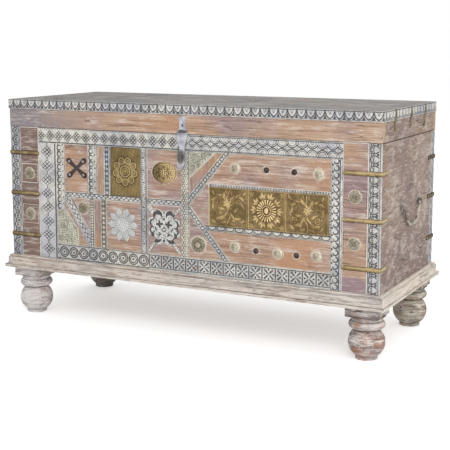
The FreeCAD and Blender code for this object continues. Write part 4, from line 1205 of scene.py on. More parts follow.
SPRAY = mirrored_leaves((
    (13, 30, 62, 11, 4.6), (27, 33, 20, 10, 4.4), (40, 24, -38, 10, 4.2), (44, 4, -80, 10, 4.2),
    (22, -4, 28, 11, 4.8), (10, -20, -50, 11, 4.4), (28, -28, -12, 11, 4.6), (42, -36, 32, 9, 3.8),
    (8, 42, 85, 7, 3.2), (46, 40, 52, 8, 3.4), (15, -41, -8, 9, 3.4),
))


def foliate(x: Array, z: Array, centre: Point, shift: float) -> Array:
    """Generic foliage round a blossom: mirrored leaves, four volutes and a stem.

    Args:
        x: Distances to the right.
        z: Distances up.
        centre: Its middle.
        shift: How far it is bent away from the other plates' foliage.

    Returns:
        Its height, 0 to 1 and a little over.
    """
    dx, dz = x - centre[0], z - centre[1]
    dx = dx + 2.6 * np.sin(dz * 0.10 + shift * 3) + 1.2 * np.sin(dz * 0.33 + dx * 0.1)
    dz = dz + 2.2 * np.sin(dx * 0.12 + shift * 5)
    stem = groove(dx - 3.0 * np.sin(dz * 0.16 + shift), 1.2, 0.8) * 0.9
    for turn in (1, -1):
        stem = most(stem, groove(np.hypot(dx - turn * 24, dz + turn * 6) - 21, 0.8, 0.8) * 0.85)
    whole = most(stem, blossom(dx, dz, (0, 9), 15, 7, shift) * 1.1)
    for lx, lz, turn, length, width in SPRAY:
        whole = most(whole, leaf(dx, dz, (lx, lz, turn, length * 1.15, width * 0.72)))
    for hand, up, turn in ((1, 18, 0.4), (-1, 18, 0.4), (1, -14, 3.2), (-1, -14, 3.2)):
        whole = most(whole, scroll_curl(dx, dz, (hand * 33, up), 10.5, turn + shift, hand) * 0.8)
    for hand in (1, -1):
        whole = most(whole, blossom(dx, dz, (hand * 18, -29), 8.5, 5, 1.2 + shift) * 0.9)
    return whole


@dataclass(frozen=True)
class FieldPlan:
    """The inner field of the front: where its columns and rows lie, as shares of its size."""

    x: float = -405.0
    z: float = 220.0
    width: float = 839.0
    height: float = 289.0
    columns: tuple = (
        ("left", 0.0), ("cross", 0.0334), ("block", 0.0846), ("pearl", 0.1287), ("beaded", 0.1359),
        ("slat_low", 0.1502), ("slat_high", 0.1633), ("dotted", 0.1788), ("scroll", 0.1907),
        ("star", 0.1990), ("plate", 0.2181), ("rail", 0.3349), ("medallion", 0.3588),
        ("centre", 0.4875), ("point", 0.5149), ("relief", 0.5864), ("relief_end", 0.9928),
        ("right", 1.0), ("scroll_foot", 0.1311), ("scroll_head", 0.0560), ("band_outer", 0.6377),
        ("band_inner", 0.6615), ("leaf_head", 0.6103), ("seam_low", 0.7235), ("seam_high", 0.8498),
    )
    rows: tuple = (
        ("bottom", 0.0), ("wood_tip", 0.1384), ("block_top", 0.1626), ("scallop", 0.2768),
        ("relief", 0.3218), ("pearl_foot", 0.3529), ("band_low", 0.4201), ("scroll_top", 0.4464),
        ("rail_low", 0.4775), ("apex", 0.5017), ("rail_high", 0.5294), ("band_high", 0.5827),
        ("relief_top", 0.6851), ("upper", 0.7093), ("leaf_foot", 0.7474), ("top", 1.0),
    )

    def share(self, across: float, up: float) -> Point:
        """A place by its shares of the width and the height."""
        return (self.x + across * self.width, self.z + up * self.height)

    def at(self, column: str, row: str) -> Point:
        """Where a column edge and a row edge cross."""
        return self.share(dict(self.columns)[column], dict(self.rows)[row])

    def bay(self, column: str, next_column: str, row: str, next_row: str) -> Outline:
        """The rectangle between two column edges and two row edges."""
        (x0, z0), (x1, z1) = self.at(column, row), self.at(next_column, next_row)
        return rectangle(x0, x1, z0, z1)

    def band_edge(self, row: str) -> Point:
        """The inner edge of a slanted band at the height of a row.

        Args:
            row: The row edge's name.

        Returns:
            The point there, on the line from the apex to the field's top or foot.
        """
        z = self.at("left", row)[1]
        start = self.at("point", "apex")
        end = self.at("band_inner", "top" if z > start[1] else "bottom")
        along = (z - start[1]) / (end[1] - start[1])
        return (start[0] + along * (end[0] - start[0]), z)


def between(a: Point, b: Point, share: float) -> Point:
    """A point part of the way from a to b."""
    return (a[0] + (b[0] - a[0]) * share, a[1] + (b[1] - a[1]) * share)


def apart(point: Point, start: Point, along: Point) -> float:
    """How far a point lies from the line through start in a direction."""
    return abs((point[0] - start[0]) * along[1] - (point[1] - start[1]) * along[0]) / math.hypot(*along)


def fit_out(shell: Shell, name: str, finish: Finish, node: str, body: str = "case") -> None:
    """Makes a gathered piece, gives it its finish, and lets it stand for a CAD node.

    Args:
        shell: The piece's points and faces.
        name: The piece's name.
        finish: Its finish.
        node: The node that it stands for.
        body: The CAD body that it rides on.
    """
    piece = shell.mesh(name)
    piece.data.materials.append(finish.material())
    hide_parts(node)
    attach(piece, body)
    log.info("%s: %d faces, %s", name, len(piece.data.polygons), finish.name)


def dress(finish: Finish, *nodes: str) -> None:
    """Gives CAD nodes that keep their shape a finish.

    Args:
        finish: The finish.
        nodes: The nodes' names.
    """
    for node in nodes:
        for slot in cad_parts[node].material_slots:
            slot.material = finish.material()
    log.info("%s: %s", finish.name, ", ".join(nodes))


def carved(
    shape: Outline, carving: Carving, start: Point, along: Point, width: float, face: float = 0.0,
    plane: Plane = FRONT, back: float = BACK, shell: Shell | None = None,
) -> Shell:
    """A carved strip in its outline.

    Args:
        shape: The strip's outline.
        carving: Its pattern.
        start: Where the pattern starts.
        along: The way that it runs.
        width: Its width.
        face: Where its face lies, as a distance out.
        plane: The side of the chest.
        back: Where its back lies.
        shell: A piece that it joins, if any.

    Returns:
        The piece.
    """
    shell = shell or Shell()
    slab(shell, plane, shape, carving.relief(start, along, width, face), back, CARVED_STEP)
    return shell


def upright(x0: float, x1: float, z0: float, z1: float, carving: Carving, **more: object) -> Shell:
    """A carved strip that stands upright. Its pattern starts at the foot and counts t from the left."""
    return carved(rectangle(x0, x1, z0, z1), carving, (x0, z0), (0, 1), x1 - x0, **more)


def level(x0: float, x1: float, z0: float, z1: float, carving: Carving, **more: object) -> Shell:
    """A carved strip that lies level. Its pattern starts at the right and counts t upwards."""
    return carved(rectangle(x0, x1, z0, z1), carving, (x1, z0), (-1, 0), z1 - z0, **more)


@dataclass
class FrontBorder:
    """The strips round the front's field, the wood columns and the corner strips."""

    plan: FieldPlan = field(default_factory=FieldPlan)
    foot: float = 176.0
    head: float = 553.0
    corner: float = 34.0
    column_left: Point = (-531.0, -466.0)
    column_right: Point = (464.0, 531.0)
    top_split: float = 27.8
    bottom_split: float = -99.6
    rear_thickness: float = 4.0
    column_step: float = 1.6

    def build(self) -> None:
        """Builds the strips, the columns and the corner strips."""
        inner, outer = self.column_left[1], self.column_right[0]
        (left, low), (right, high) = self.plan.share(0, 0), self.plan.share(1, 1)
        split, seam = self.top_split, self.bottom_split
        side, top, bottom = (self.foot, high), (high, self.head), (self.foot, low)
        for name, node, finish, strip, carving, x0, x1, z in (
            ("lozenge_lattice", "strip_lozenge_left", BLUE_CARVING, upright, Carving.LATTICE, inner, left, side),
            ("lozenge_triangle", "strip_lozenge_top", CARVING, level, Carving.TRIANGLES, inner, split, top),
            ("lattice_arc", "strip_lattice_top", BLUE_CARVING, level, Carving.ARCS, split, outer, top),
            ("open_ring", "strip_scallop_right", BLUE_CARVING, upright, Carving.RINGS, right, outer, side),
            ("double_circle", "strip_circles_bottom", CARVING, level, Carving.CIRCLES, left, seam, bottom),
            ("crossed_block", "strip_blocks_bottom", CARVING, level, Carving.BLOCKS, seam, right, bottom),
        ):
            fit_out(strip(x0, x1, *z, carving), f"{name}_strip", finish, node)
        self._build_columns()
        self._build_corners()

    def _build_columns(self) -> None:
        """The plain columns, with shallow square steps round each boss."""
        shell = Shell()
        for x0, x1 in (self.column_left, self.column_right):
            shape = rectangle(x0, x1, self.foot, self.head)
            slab(shell, FRONT, shape, self._stepped((x0 + x1) / 2), BACK, self.column_step, (*FINE, 2.0))
        fit_out(shell, "wood_columns", COLUMN_WOOD, "column_panels")

    def _stepped(self, middle: float) -> Relief:
        """The face of a column: nested squares of thin grooves about each boss.

        Args:
            middle: Its middle line, as a distance to the right.

        Returns:
            Its relief.
        """
        plain = plain_face(0.0)

        def face(x: Array, z: Array, gap: Array) -> Pair:
            """The column's face, where a square is max(|x|, |z|) = a constant."""
            out, _ = plain(x, z, gap)
            lines, halo = np.zeros_like(x), np.zeros_like(x)
            for z0 in COLUMN_BOSSES:
                square = most(abs(x - middle), abs(z - z0))
                lines = most(lines, groove(square - 29.5, 0.8), groove(square - 25.0, 0.6) * 0.6)
                rim = groove(square - 27.2, 1.3) * (1.0 if middle < 0 else 0.35)
                halo = most(halo, groove(np.hypot(x - middle, z - z0) - 17.4, 0.9, 1.0), rim)
            return out - 0.7 * lines, halo * 0.8 - lines * 0.75

        return face

    def _build_corners(self) -> None:
        """The carved strips at the front corners, and at the rear ends of the sides."""
        edge, shell = HALF_LENGTH, Shell()
        left = rectangle(-edge, -edge + self.corner, self.foot, self.head)
        carved(left, Carving.LOBES, (-edge + self.corner, self.head), (0, -1), self.corner, shell=shell)
        upright(edge - self.corner, edge, self.foot, self.head, Carving.HEARTS, shell=shell)
        start, end = HALF_DEPTH - self.corner, HALF_DEPTH
        rear = {"shell": shell, "back": -self.rear_thickness}
        upright(start, end, self.foot, self.head, Carving.LOBES, plane=RIGHT, **rear)
        shape = rectangle(-end, -start, self.foot, self.head)
        carved(shape, Carving.LOBES, (-start, self.head), (0, -1), self.corner, plane=LEFT, **rear)
        fit_out(shell, "corner_carving", CORNER_CARVING, "corner_strips")


@dataclass
class FieldStrips:
    """The narrow carved strips between the panels of the front's field."""

    plan: FieldPlan = field(default_factory=FieldPlan)

    def _strip(self, columns: tuple[str, str], rows: tuple[str, str], carving: Carving, **more: object) -> Shell:
        """An upright strip between two columns and two rows."""
        (x0, z0), (x1, z1) = self.plan.at(columns[0], rows[0]), self.plan.at(columns[1], rows[1])
        return upright(x0, x1, z0, z1, carving, **more)

    def build(self) -> None:
        """Builds the pearl, scroll and beaded strips, the slanted bands and the rails."""
        low, high = ("bottom", "rail_low"), ("rail_high", "top")
        pearl = self._strip(("left", "cross"), ("pearl_foot", "top"), Carving.PEARLS)
        self._strip(("pearl", "slat_high"), high, Carving.PEARLS, shell=pearl)
        scroll = self._strip(("scroll", "plate"), high, Carving.CHAIN)
        self._strip(("rail", "medallion"), ("bottom", "top"), Carving.PLAIN, shell=scroll)
        self._slanted_scroll(scroll)
        beaded = self._strip(("beaded", "slat_low"), low, Carving.BEADS)
        self._strip(("dotted", "star"), low, Carving.CHAIN, shell=beaded)
        double = self._strip(("centre", "point"), ("bottom", "top"), Carving.DOUBLE_PEARLS)
        fit_out(pearl, "pearl_strips", CARVING, "strips_pearl")
        fit_out(scroll, "scroll_strips", BLUE_CARVING, "strips_scroll")
        fit_out(beaded, "beaded_strips", CREAM_CARVING, "strips_beaded")
        fit_out(double, "double_pearl_strip", CREAM_CARVING, "strip_double_pearl")
        self._bands()
        self._rails()

    def _slanted_scroll(self, shell: Shell) -> None:
        """Adds the slanted scroll strip, which runs from the foot of the beaded strip up to the left."""
        plan = self.plan
        foot, top = plan.at("scroll_foot", "bottom"), plan.at("cross", "scroll_top")
        tip, head = plan.at("beaded", "wood_tip"), plan.at("scroll_head", "rail_low")
        left = (foot, between(foot, top, 0.13), top, plan.at("cross", "rail_low"))
        right = (plan.at("beaded", "bottom"), tip, between(tip, head, 0.93), head)
        along = (top[0] - foot[0], top[1] - foot[1])
        carved(Outline(left, right), Carving.SCROLL, foot, along, apart(tip, foot, along), shell=shell)

    def _bands(self) -> None:
        """The two bands that meet at the apex."""
        plan, shell = self.plan, Shell()
        apex = plan.at("point", "apex")
        for row, far in (("band_high", "top"), ("band_low", "bottom")):
            root, outer, inner = plan.at("point", row), plan.at("band_outer", far), plan.at("band_inner", far)
            run, rise = inner[0] - apex[0], inner[1] - apex[1]
            width = apart(outer, apex, (run, rise))
            if far == "top":
                side = width / math.hypot(run, rise)
                start = (apex[0] - side * rise, apex[1] + side * run)
                carved(Outline((root, outer), (apex, inner)), Carving.BAND, start, (run, rise), width, shell=shell)
            else:
                carved(Outline((outer, root), (inner, apex)), Carving.BAND, outer, (-run, -rise), width, shell=shell)
        fit_out(shell, "slanted_bands", CARVING, "strips_diagonal")

    def _rails(self) -> None:
        """The scalloped rail under the brass plates, and the marked rails and borders beside it."""
        plan = self.plan
        low, high = plan.band_edge("scallop"), plan.band_edge("relief")
        right_low, right_high = plan.at("right", "scallop"), plan.at("right", "relief")
        shape = Outline((low, high), (right_low, right_high))
        rail = carved(shape, Carving.SCALLOPS, right_low, (-1, 0), right_high[1] - right_low[1])
        fit_out(rail, "scalloped_rail", CARVING, "rail_scallop")
        marked = Shell()
        for strip, carving, start, end, foot, head in (
            (level, Carving.DASHES, "cross", "rail", "rail_low", "rail_high"),
            (level, Carving.DASHES, "medallion", "centre", "rail_low", "rail_high"),
            (level, Carving.BEADS, "relief", "right", "relief_top", "upper"),
            (upright, Carving.BEADS, "relief_end", "right", "relief", "relief_top"),
        ):
            (x0, z0), (x1, z1) = plan.at(start, foot), plan.at(end, head)
            strip(x0, x1, z0, z1, carving, face=PANEL, shell=marked)
        fit_out(marked, "marked_rails", BLUE_CARVING, "slats_plain")


@dataclass
class FieldPanels:
    """The plain wood between the strips, and the two carved foliage panels."""

    plan: FieldPlan = field(default_factory=FieldPlan)
    halos: tuple = (
        (165, 471, 15, 1), (400, 469, 15, 1), (165, 263, 15, 1), (288, 256, 15, 1), (396, 260, 15, 1),
        (-315, 331, 18, 1), (55, 258, 24, 1), (254, 471, 9, 1), (332, 470, 9, 1), (225, 257, 9, 1),
        (340, 256, 9, 1), (-50, 447, 38.5, 0.79),
    )
    flowers: tuple = (
        (-371, 240, 12, 8), (-388, 276, 10, 7), (-352, 236, 8, 6), (-393, 311, 7, 5), (-393, 238, 9, 6),
        (45, 490, 13, 8), (72, 499, 9, 6), (35, 466, 8, 5), (90, 503, 5, 5), (55, 474, 7, 5),
    )

    def _wood(self, name: str, finish: Finish, node: str, *shapes: Outline) -> None:
        """Makes a piece of plain boards, with a rim of paint left round each boss and stud.

        Args:
            name: The piece's name.
            finish: Its finish.
            node: The node that it stands for.
            shapes: The boards' outlines.
        """
        shell, plain = Shell(), plain_face(PANEL)

        def face(x: Array, z: Array, gap: Array) -> Pair:
            """A board's face: 0.75 paint where the distance from a boss is its radius."""
            out, paint = plain(x, z, gap)
            for cx, cz, radius, flat in self.halos:
                far = np.hypot(x - cx, (z - cz) / flat)
                paint = most(paint, 0.75 * groove(far - radius - 1.0, 1.3, 2.2))
            return out, paint

        for shape in shapes:
            slab(shell, FRONT, shape, face, BACK, PLAIN_STEP, (*FINE, 2.0, RIM_WEAR))
        fit_out(shell, name, finish, node)

    def build(self) -> None:
        """Builds the square and corner panels, the trapezoids, the slats and the foliage."""
        plan = self.plan
        self._wood(
            "square_boards", FRONT_WOOD, "square_panels",
            plan.bay("cross", "pearl", "rail_high", "top"),
            plan.bay("medallion", "centre", "rail_high", "top"),
            plan.bay("star", "rail", "bottom", "rail_low"),
            plan.bay("medallion", "centre", "bottom", "rail_low"),
        )
        inner_top, inner_foot = plan.at("band_inner", "top"), plan.at("band_inner", "bottom")
        self._wood(
            "pointed_boards", FRONT_WOOD, "trapezoid_panels",
            Outline((plan.band_edge("upper"), inner_top), (plan.at("right", "upper"), plan.at("right", "top"))),
            Outline((inner_foot, plan.band_edge("scallop")), (plan.at("right", "bottom"), plan.at("right", "scallop"))),
        )
        self._corners()
        leaf_side = (plan.at("point", "leaf_foot"), plan.at("leaf_head", "top"))
        self._wood(
            "upright_slats", SLAT_WOOD, "slats_plain",
            plan.bay("slat_high", "scroll", "rail_high", "top"),
            plan.bay("slat_low", "dotted", "bottom", "rail_low"),
            Outline(leaf_side, (plan.at("point", "band_high"), plan.at("band_outer", "top"))),
        )
        self._foliage()

    def _corners(self) -> None:
        """The wedges beside the slanted strips."""
        plan = self.plan
        foot, top = plan.at("scroll_foot", "bottom"), plan.at("cross", "scroll_top")
        apex, tip = plan.at("point", "apex"), plan.at("beaded", "wood_tip")
        self._wood(
            "wedge_boards", FRONT_WOOD, "corner_panels",
            Outline(
                (plan.at("block", "bottom"), plan.at("block", "block_top"), plan.at("cross", "pearl_foot")),
                (foot, between(foot, top, 0.32), top),
            ),
            Outline((tip, plan.at("scroll_head", "rail_low")), (tip, plan.at("beaded", "rail_low"))),
            Outline(
                (plan.at("point", "bottom"), plan.at("point", "band_low")),
                (plan.at("band_outer", "bottom"), plan.at("point", "band_low")),
            ),
            Outline(
                (plan.band_edge("relief"), apex, plan.band_edge("upper")),
                (plan.at("relief", "relief"), plan.at("relief", "apex"), plan.at("relief", "upper")),
            ),
        )

    def _foliage(self) -> None:
        """The carved foliage panels at the lower left and the upper middle."""
        plan, shell = self.plan, Shell()
        low = Outline(
            (plan.at("left", "bottom"), plan.at("left", "block_top"), plan.at("left", "pearl_foot")),
            (plan.at("block", "bottom"), plan.at("block", "block_top"), plan.at("cross", "pearl_foot")),
        )
        high = Outline(
            (plan.at("point", "leaf_foot"), plan.at("point", "top")),
            (plan.at("point", "leaf_foot"), plan.at("leaf_head", "top")),
        )

        def carve(x: Array, z: Array, gap: Array) -> Pair:
            """Blossoms standing on a pricked ground crossed by vines, with a plain rim."""
            whole = np.zeros_like(x)
            for cx, cz, size, petals in self.flowers:
                whole = most(whole, blossom(x, z, (cx, cz), size, petals, cx * 0.1) * 0.8)
            bent, swung = x + 2.6 * np.sin(z * 0.24), z + 2.6 * np.sin(x * 0.21)
            pricks = disc(repeat(bent + swung * 0.4, 7.6), repeat(swung - bent * 0.4, 7.0), 1.5)
            vines = groove(np.sin(bent * 0.13 + swung * 0.05) * 9.0 - np.sin(swung * 0.17) * 5.0, 0.8)
            ground = 0.80 - 0.75 * most(pricks, vines * 0.8)
            whole = most(np.where(whole > 0.12, whole, ground), 1 - smooth(2.6, 3.6, gap))
            cut = 1 - np.clip(whole * 1.3, 0, 1)
            return PANEL + 0.9 - 2.2 * cut - rounded(gap, 0.8, 1.4), cut

        for shape in (low, high):
            slab(shell, FRONT, shape, carve, BACK, RELIEF_STEP)
        fit_out(shell, "foliage_carving", GREEN_CARVING, "foliage_panels")


@dataclass
class BrassPlates:
    """The embossed brass plates: one with a rosette, and three in a row with foliage."""

    plan: FieldPlan = field(default_factory=FieldPlan)
    rosette: Point = (-175.0, 443.0)
    centres: tuple = ((144.5, 365.0), (255.0, 365.0), (367.5, 365.0))
    rise: float = 2.8
    row_step: float = 0.85

    def build(self) -> None:
        """Builds the rosette plate and the row of three."""
        shell = Shell()
        slab(shell, FRONT, self.plan.bay("plate", "rail", "rail_high", "top"), self._rosette, BACK, RELIEF_STEP)
        fit_out(shell, "rosette_plate", PLATE_BRASS, "brass_rosette_plate")
        row = Shell()
        seams = ("relief", "seam_low", "seam_high", "relief_end")
        faces = (self._outer(0), self._middle, self._outer(2))
        for start, end, face in zip(seams, seams[1:], faces):
            slab(row, FRONT, self.plan.bay(start, end, "relief", "relief_top"), face, BACK, self.row_step)
        fit_out(row, "relief_plates", RELIEF_BRASS, "brass_relief_plates")

    def _rosette(self, x: Array, z: Array, gap: Array) -> Pair:
        """Nine looped petals round a ring: each petal is a ring about a point 30 mm from the middle."""
        dx, dz = x - self.rosette[0], z - self.rosette[1]
        far, angle = np.hypot(dx, dz), np.arctan2(dz, dx)
        petal = math.tau / 9
        turn = repeat(angle, petal, 0.2)
        px, pz = far * np.cos(turn) - 30.0, far * np.sin(turn)
        loops = most(ring(px, pz * 1.05, 9.0, 1.7), ring(px + 1.0, pz, 4.6, 1.2) * 0.8, disc(px + 1.0, pz, 1.7) * 0.8)
        folds = groove(repeat(angle, petal, 0.2 + petal / 2) * far, 1.2) * groove(far - 23.5, 5.0)
        hub = most(ring(dx, dz, 15.2, 1.8), ring(dx, dz, 10.0, 1.1) * 0.7, disc(dx, dz, 3.4))
        seeds = disc(repeat(angle, math.pi / 4) * 7.0, far - 7.0, 1.2) * 0.7
        raised = most(loops, folds * 0.7, hub, seeds)
        wave = 0.35 * np.sin(x * 0.11 + 0.6) * np.sin(z * 0.07)
        out = PANEL + raised * 1.5 + wave - rounded(gap, 0.7, 1.6)
        shade = most(0.35 * (1 - smooth(0.0, 16.0, abs(far - 28.0))), (1 - smooth(1.0, 3.0, gap)) * 0.5)
        grain = 0.16 * (np.sin(x * 0.9 + np.sin(z * 0.05)) * np.sin(z * 0.13 + x * 0.3) + 0.5)
        near = most(groove(abs(np.hypot(px, pz) - 9.0) - 3.2, 0.9), groove(abs(far - 15.2) - 3.4, 0.9)) * 0.5
        dark = (shade + (grain + near) * 1.7 + 0.1) * (1 - raised)
        return out, dark - 1.8 * raised * (0.7 + 0.3 * np.sin(angle * 2 + 0.8))

    def _finish_plate(self, height: Array, x: Array, z: Array, gap: Array) -> Pair:
        """A plate's face from its relief: a beaded rim is added, and the ground is darkened.

        Args:
            height: The relief, 0 to 1.
            x: Distances to the right.
            z: Distances up.
            gap: Distances to the plate's edge.

        Returns:
            The distance out and the recess.
        """
        rim = groove(gap - 2.0, 0.9) * 0.8
        bent, swung = x + 3.0 * np.sin(z * 0.31), z + 3.0 * np.sin(x * 0.27)
        pebbles = 0.17 * (np.sin(bent * 0.9 + swung * 0.3) * np.sin(swung * 0.95) + 1) * (1 - np.clip(height, 0, 1))
        whole = most(height * smooth(2.5, 4.5, gap), rim) + pebbles
        shade = 0.50 - 0.50 * smooth(0.25, 0.6, whole) - 1.05 * smooth(0.68, 0.95, whole)
        shade = shade + 0.55 * groove(height - 0.17, 0.13, 0.08)
        return PANEL + self.rise * whole - rounded(gap, 0.7, 1.2), shade

    def _middle(self, x: Array, z: Array, gap: Array) -> Pair:
        """A sunflower: an oval boss, a ring of beads, 20 thin petals and ten lobed leaves."""
        dx, dz = x - self.centres[1][0], z - self.centres[1][1]
        far, angle = np.hypot(dx, dz * 0.96), np.arctan2(dz, dx)
        boss = dome((dx / 6.5) ** 2 + (dz / 9.0) ** 2) * 1.2
        collar = groove(far - 12.0, 1.2, 0.8) * (0.55 + 0.45 * groove(repeat(angle, math.pi / 10) * 12.0, 1.2, 0.7))
        thin = abs(np.cos(angle * 11)) ** 1.6 * smooth(13.5, 16.0, far) * smooth(30.0, 26.5, far)
        turn = repeat(angle, math.pi / 5, math.pi / 10)
        px, pz = far * np.cos(turn), far * np.sin(turn)
        leaves = leaf(px, pz, (40.0, 0.0, 0.0, 9.0, 3.4))
        for side in (1, -1):
            leaves = most(leaves, leaf(px, pz, (37.0, side * 6.2, side * 38.0, 8.0, 2.8)))
            leaves = most(leaves, leaf(px, pz, (33.0, side * 3.4, side * 20.0, 4.6, 2.0)) * 0.9)
        buds = np.zeros_like(x)
        for sx in (-1, 1):
            for sz in (-1, 1):
                buds = most(buds, blossom(dx, dz, (sx * 43, sz * 42), 8.5, 5, 0.8 * sx * sz))
        return self._finish_plate(most(boss, collar, thin, leaves, buds * 0.8), x, z, gap)

    def _outer(self, number: int) -> Relief:
        """Foliage about a blossom, shifted a little on each plate."""
        def face(x: Array, z: Array, gap: Array) -> Pair:
            """The plate's relief at x and z."""
            return self._finish_plate(foliate(x, z, self.centres[number], 0.5 * number) * 0.85, x, z, gap)

        return face


SMALL_BOSS, LARGE_BOSS = 15.0, 20.0


@dataclass(frozen=True)
class Boss:
    """A domed brass head: its place, its radius, where it sits and how high it stands."""

    x: float
    z: float
    radius: float = 14.0
    seat: float = PANEL
    rise: float = 6.0

    def reach(self, angle: Array) -> Array:
        """The same radius at every angle."""
        return np.full_like(angle, self.radius)

    def profile(self, share: Array, angle: Array) -> Pair:
        """A dome, H sqrt(1 - (share / 0.94)^2), with rays, an eye, a rim of beads and worn pecks."""
        large, small = self.radius > LARGE_BOSS, self.radius < SMALL_BOSS
        rays, half = (22, 1.3) if large else (12, 0.6)
        ray = groove(repeat(angle, math.tau / rays) * share * self.radius, half, 0.5)
        ray = ray * smooth(0.30, 0.40, share) * smooth(0.94, 0.88, share)
        eye = groove((share - 0.32) * self.radius, 0.6, 0.5)
        beads = groove((share - 0.93) * self.radius, 0.8) * (0.5 + 0.5 * np.cos(angle * 24))
        out = self.seat + 1.0 + (self.rise - 1.6) * dome((share / 0.94) ** 2) + beads * 0.7 - ray * 0.8 - eye * 0.7
        u, v = share * self.radius * np.cos(angle), share * self.radius * np.sin(angle)
        pecks = 0.9 * smooth(0.0, 0.5, np.sin(u * 1.5 + np.sin(v)) * np.sin(v * 1.5 + 1.3 * np.sin(u * 0.9)))
        centre = 0.0 if large else 0.3 * smooth(0.44, 0.22, share)
        marks = most(ray * (1.0 if large else 0.35), eye * 0.8, centre, pecks)
        if small:
            # Painted shade on the left side of each small dome, with its right side left brighter.
            core = 0.6 * marks + 0.35 + 0.5 * smooth(0.2, -0.6, np.cos(angle) * share)
            return out, smooth(0.78, 0.62, share) * core - 0.5
        return out, marks + 0.2 - (0.3 if large else 0.0) - 1.0 * smooth(0.90, 0.97, share)


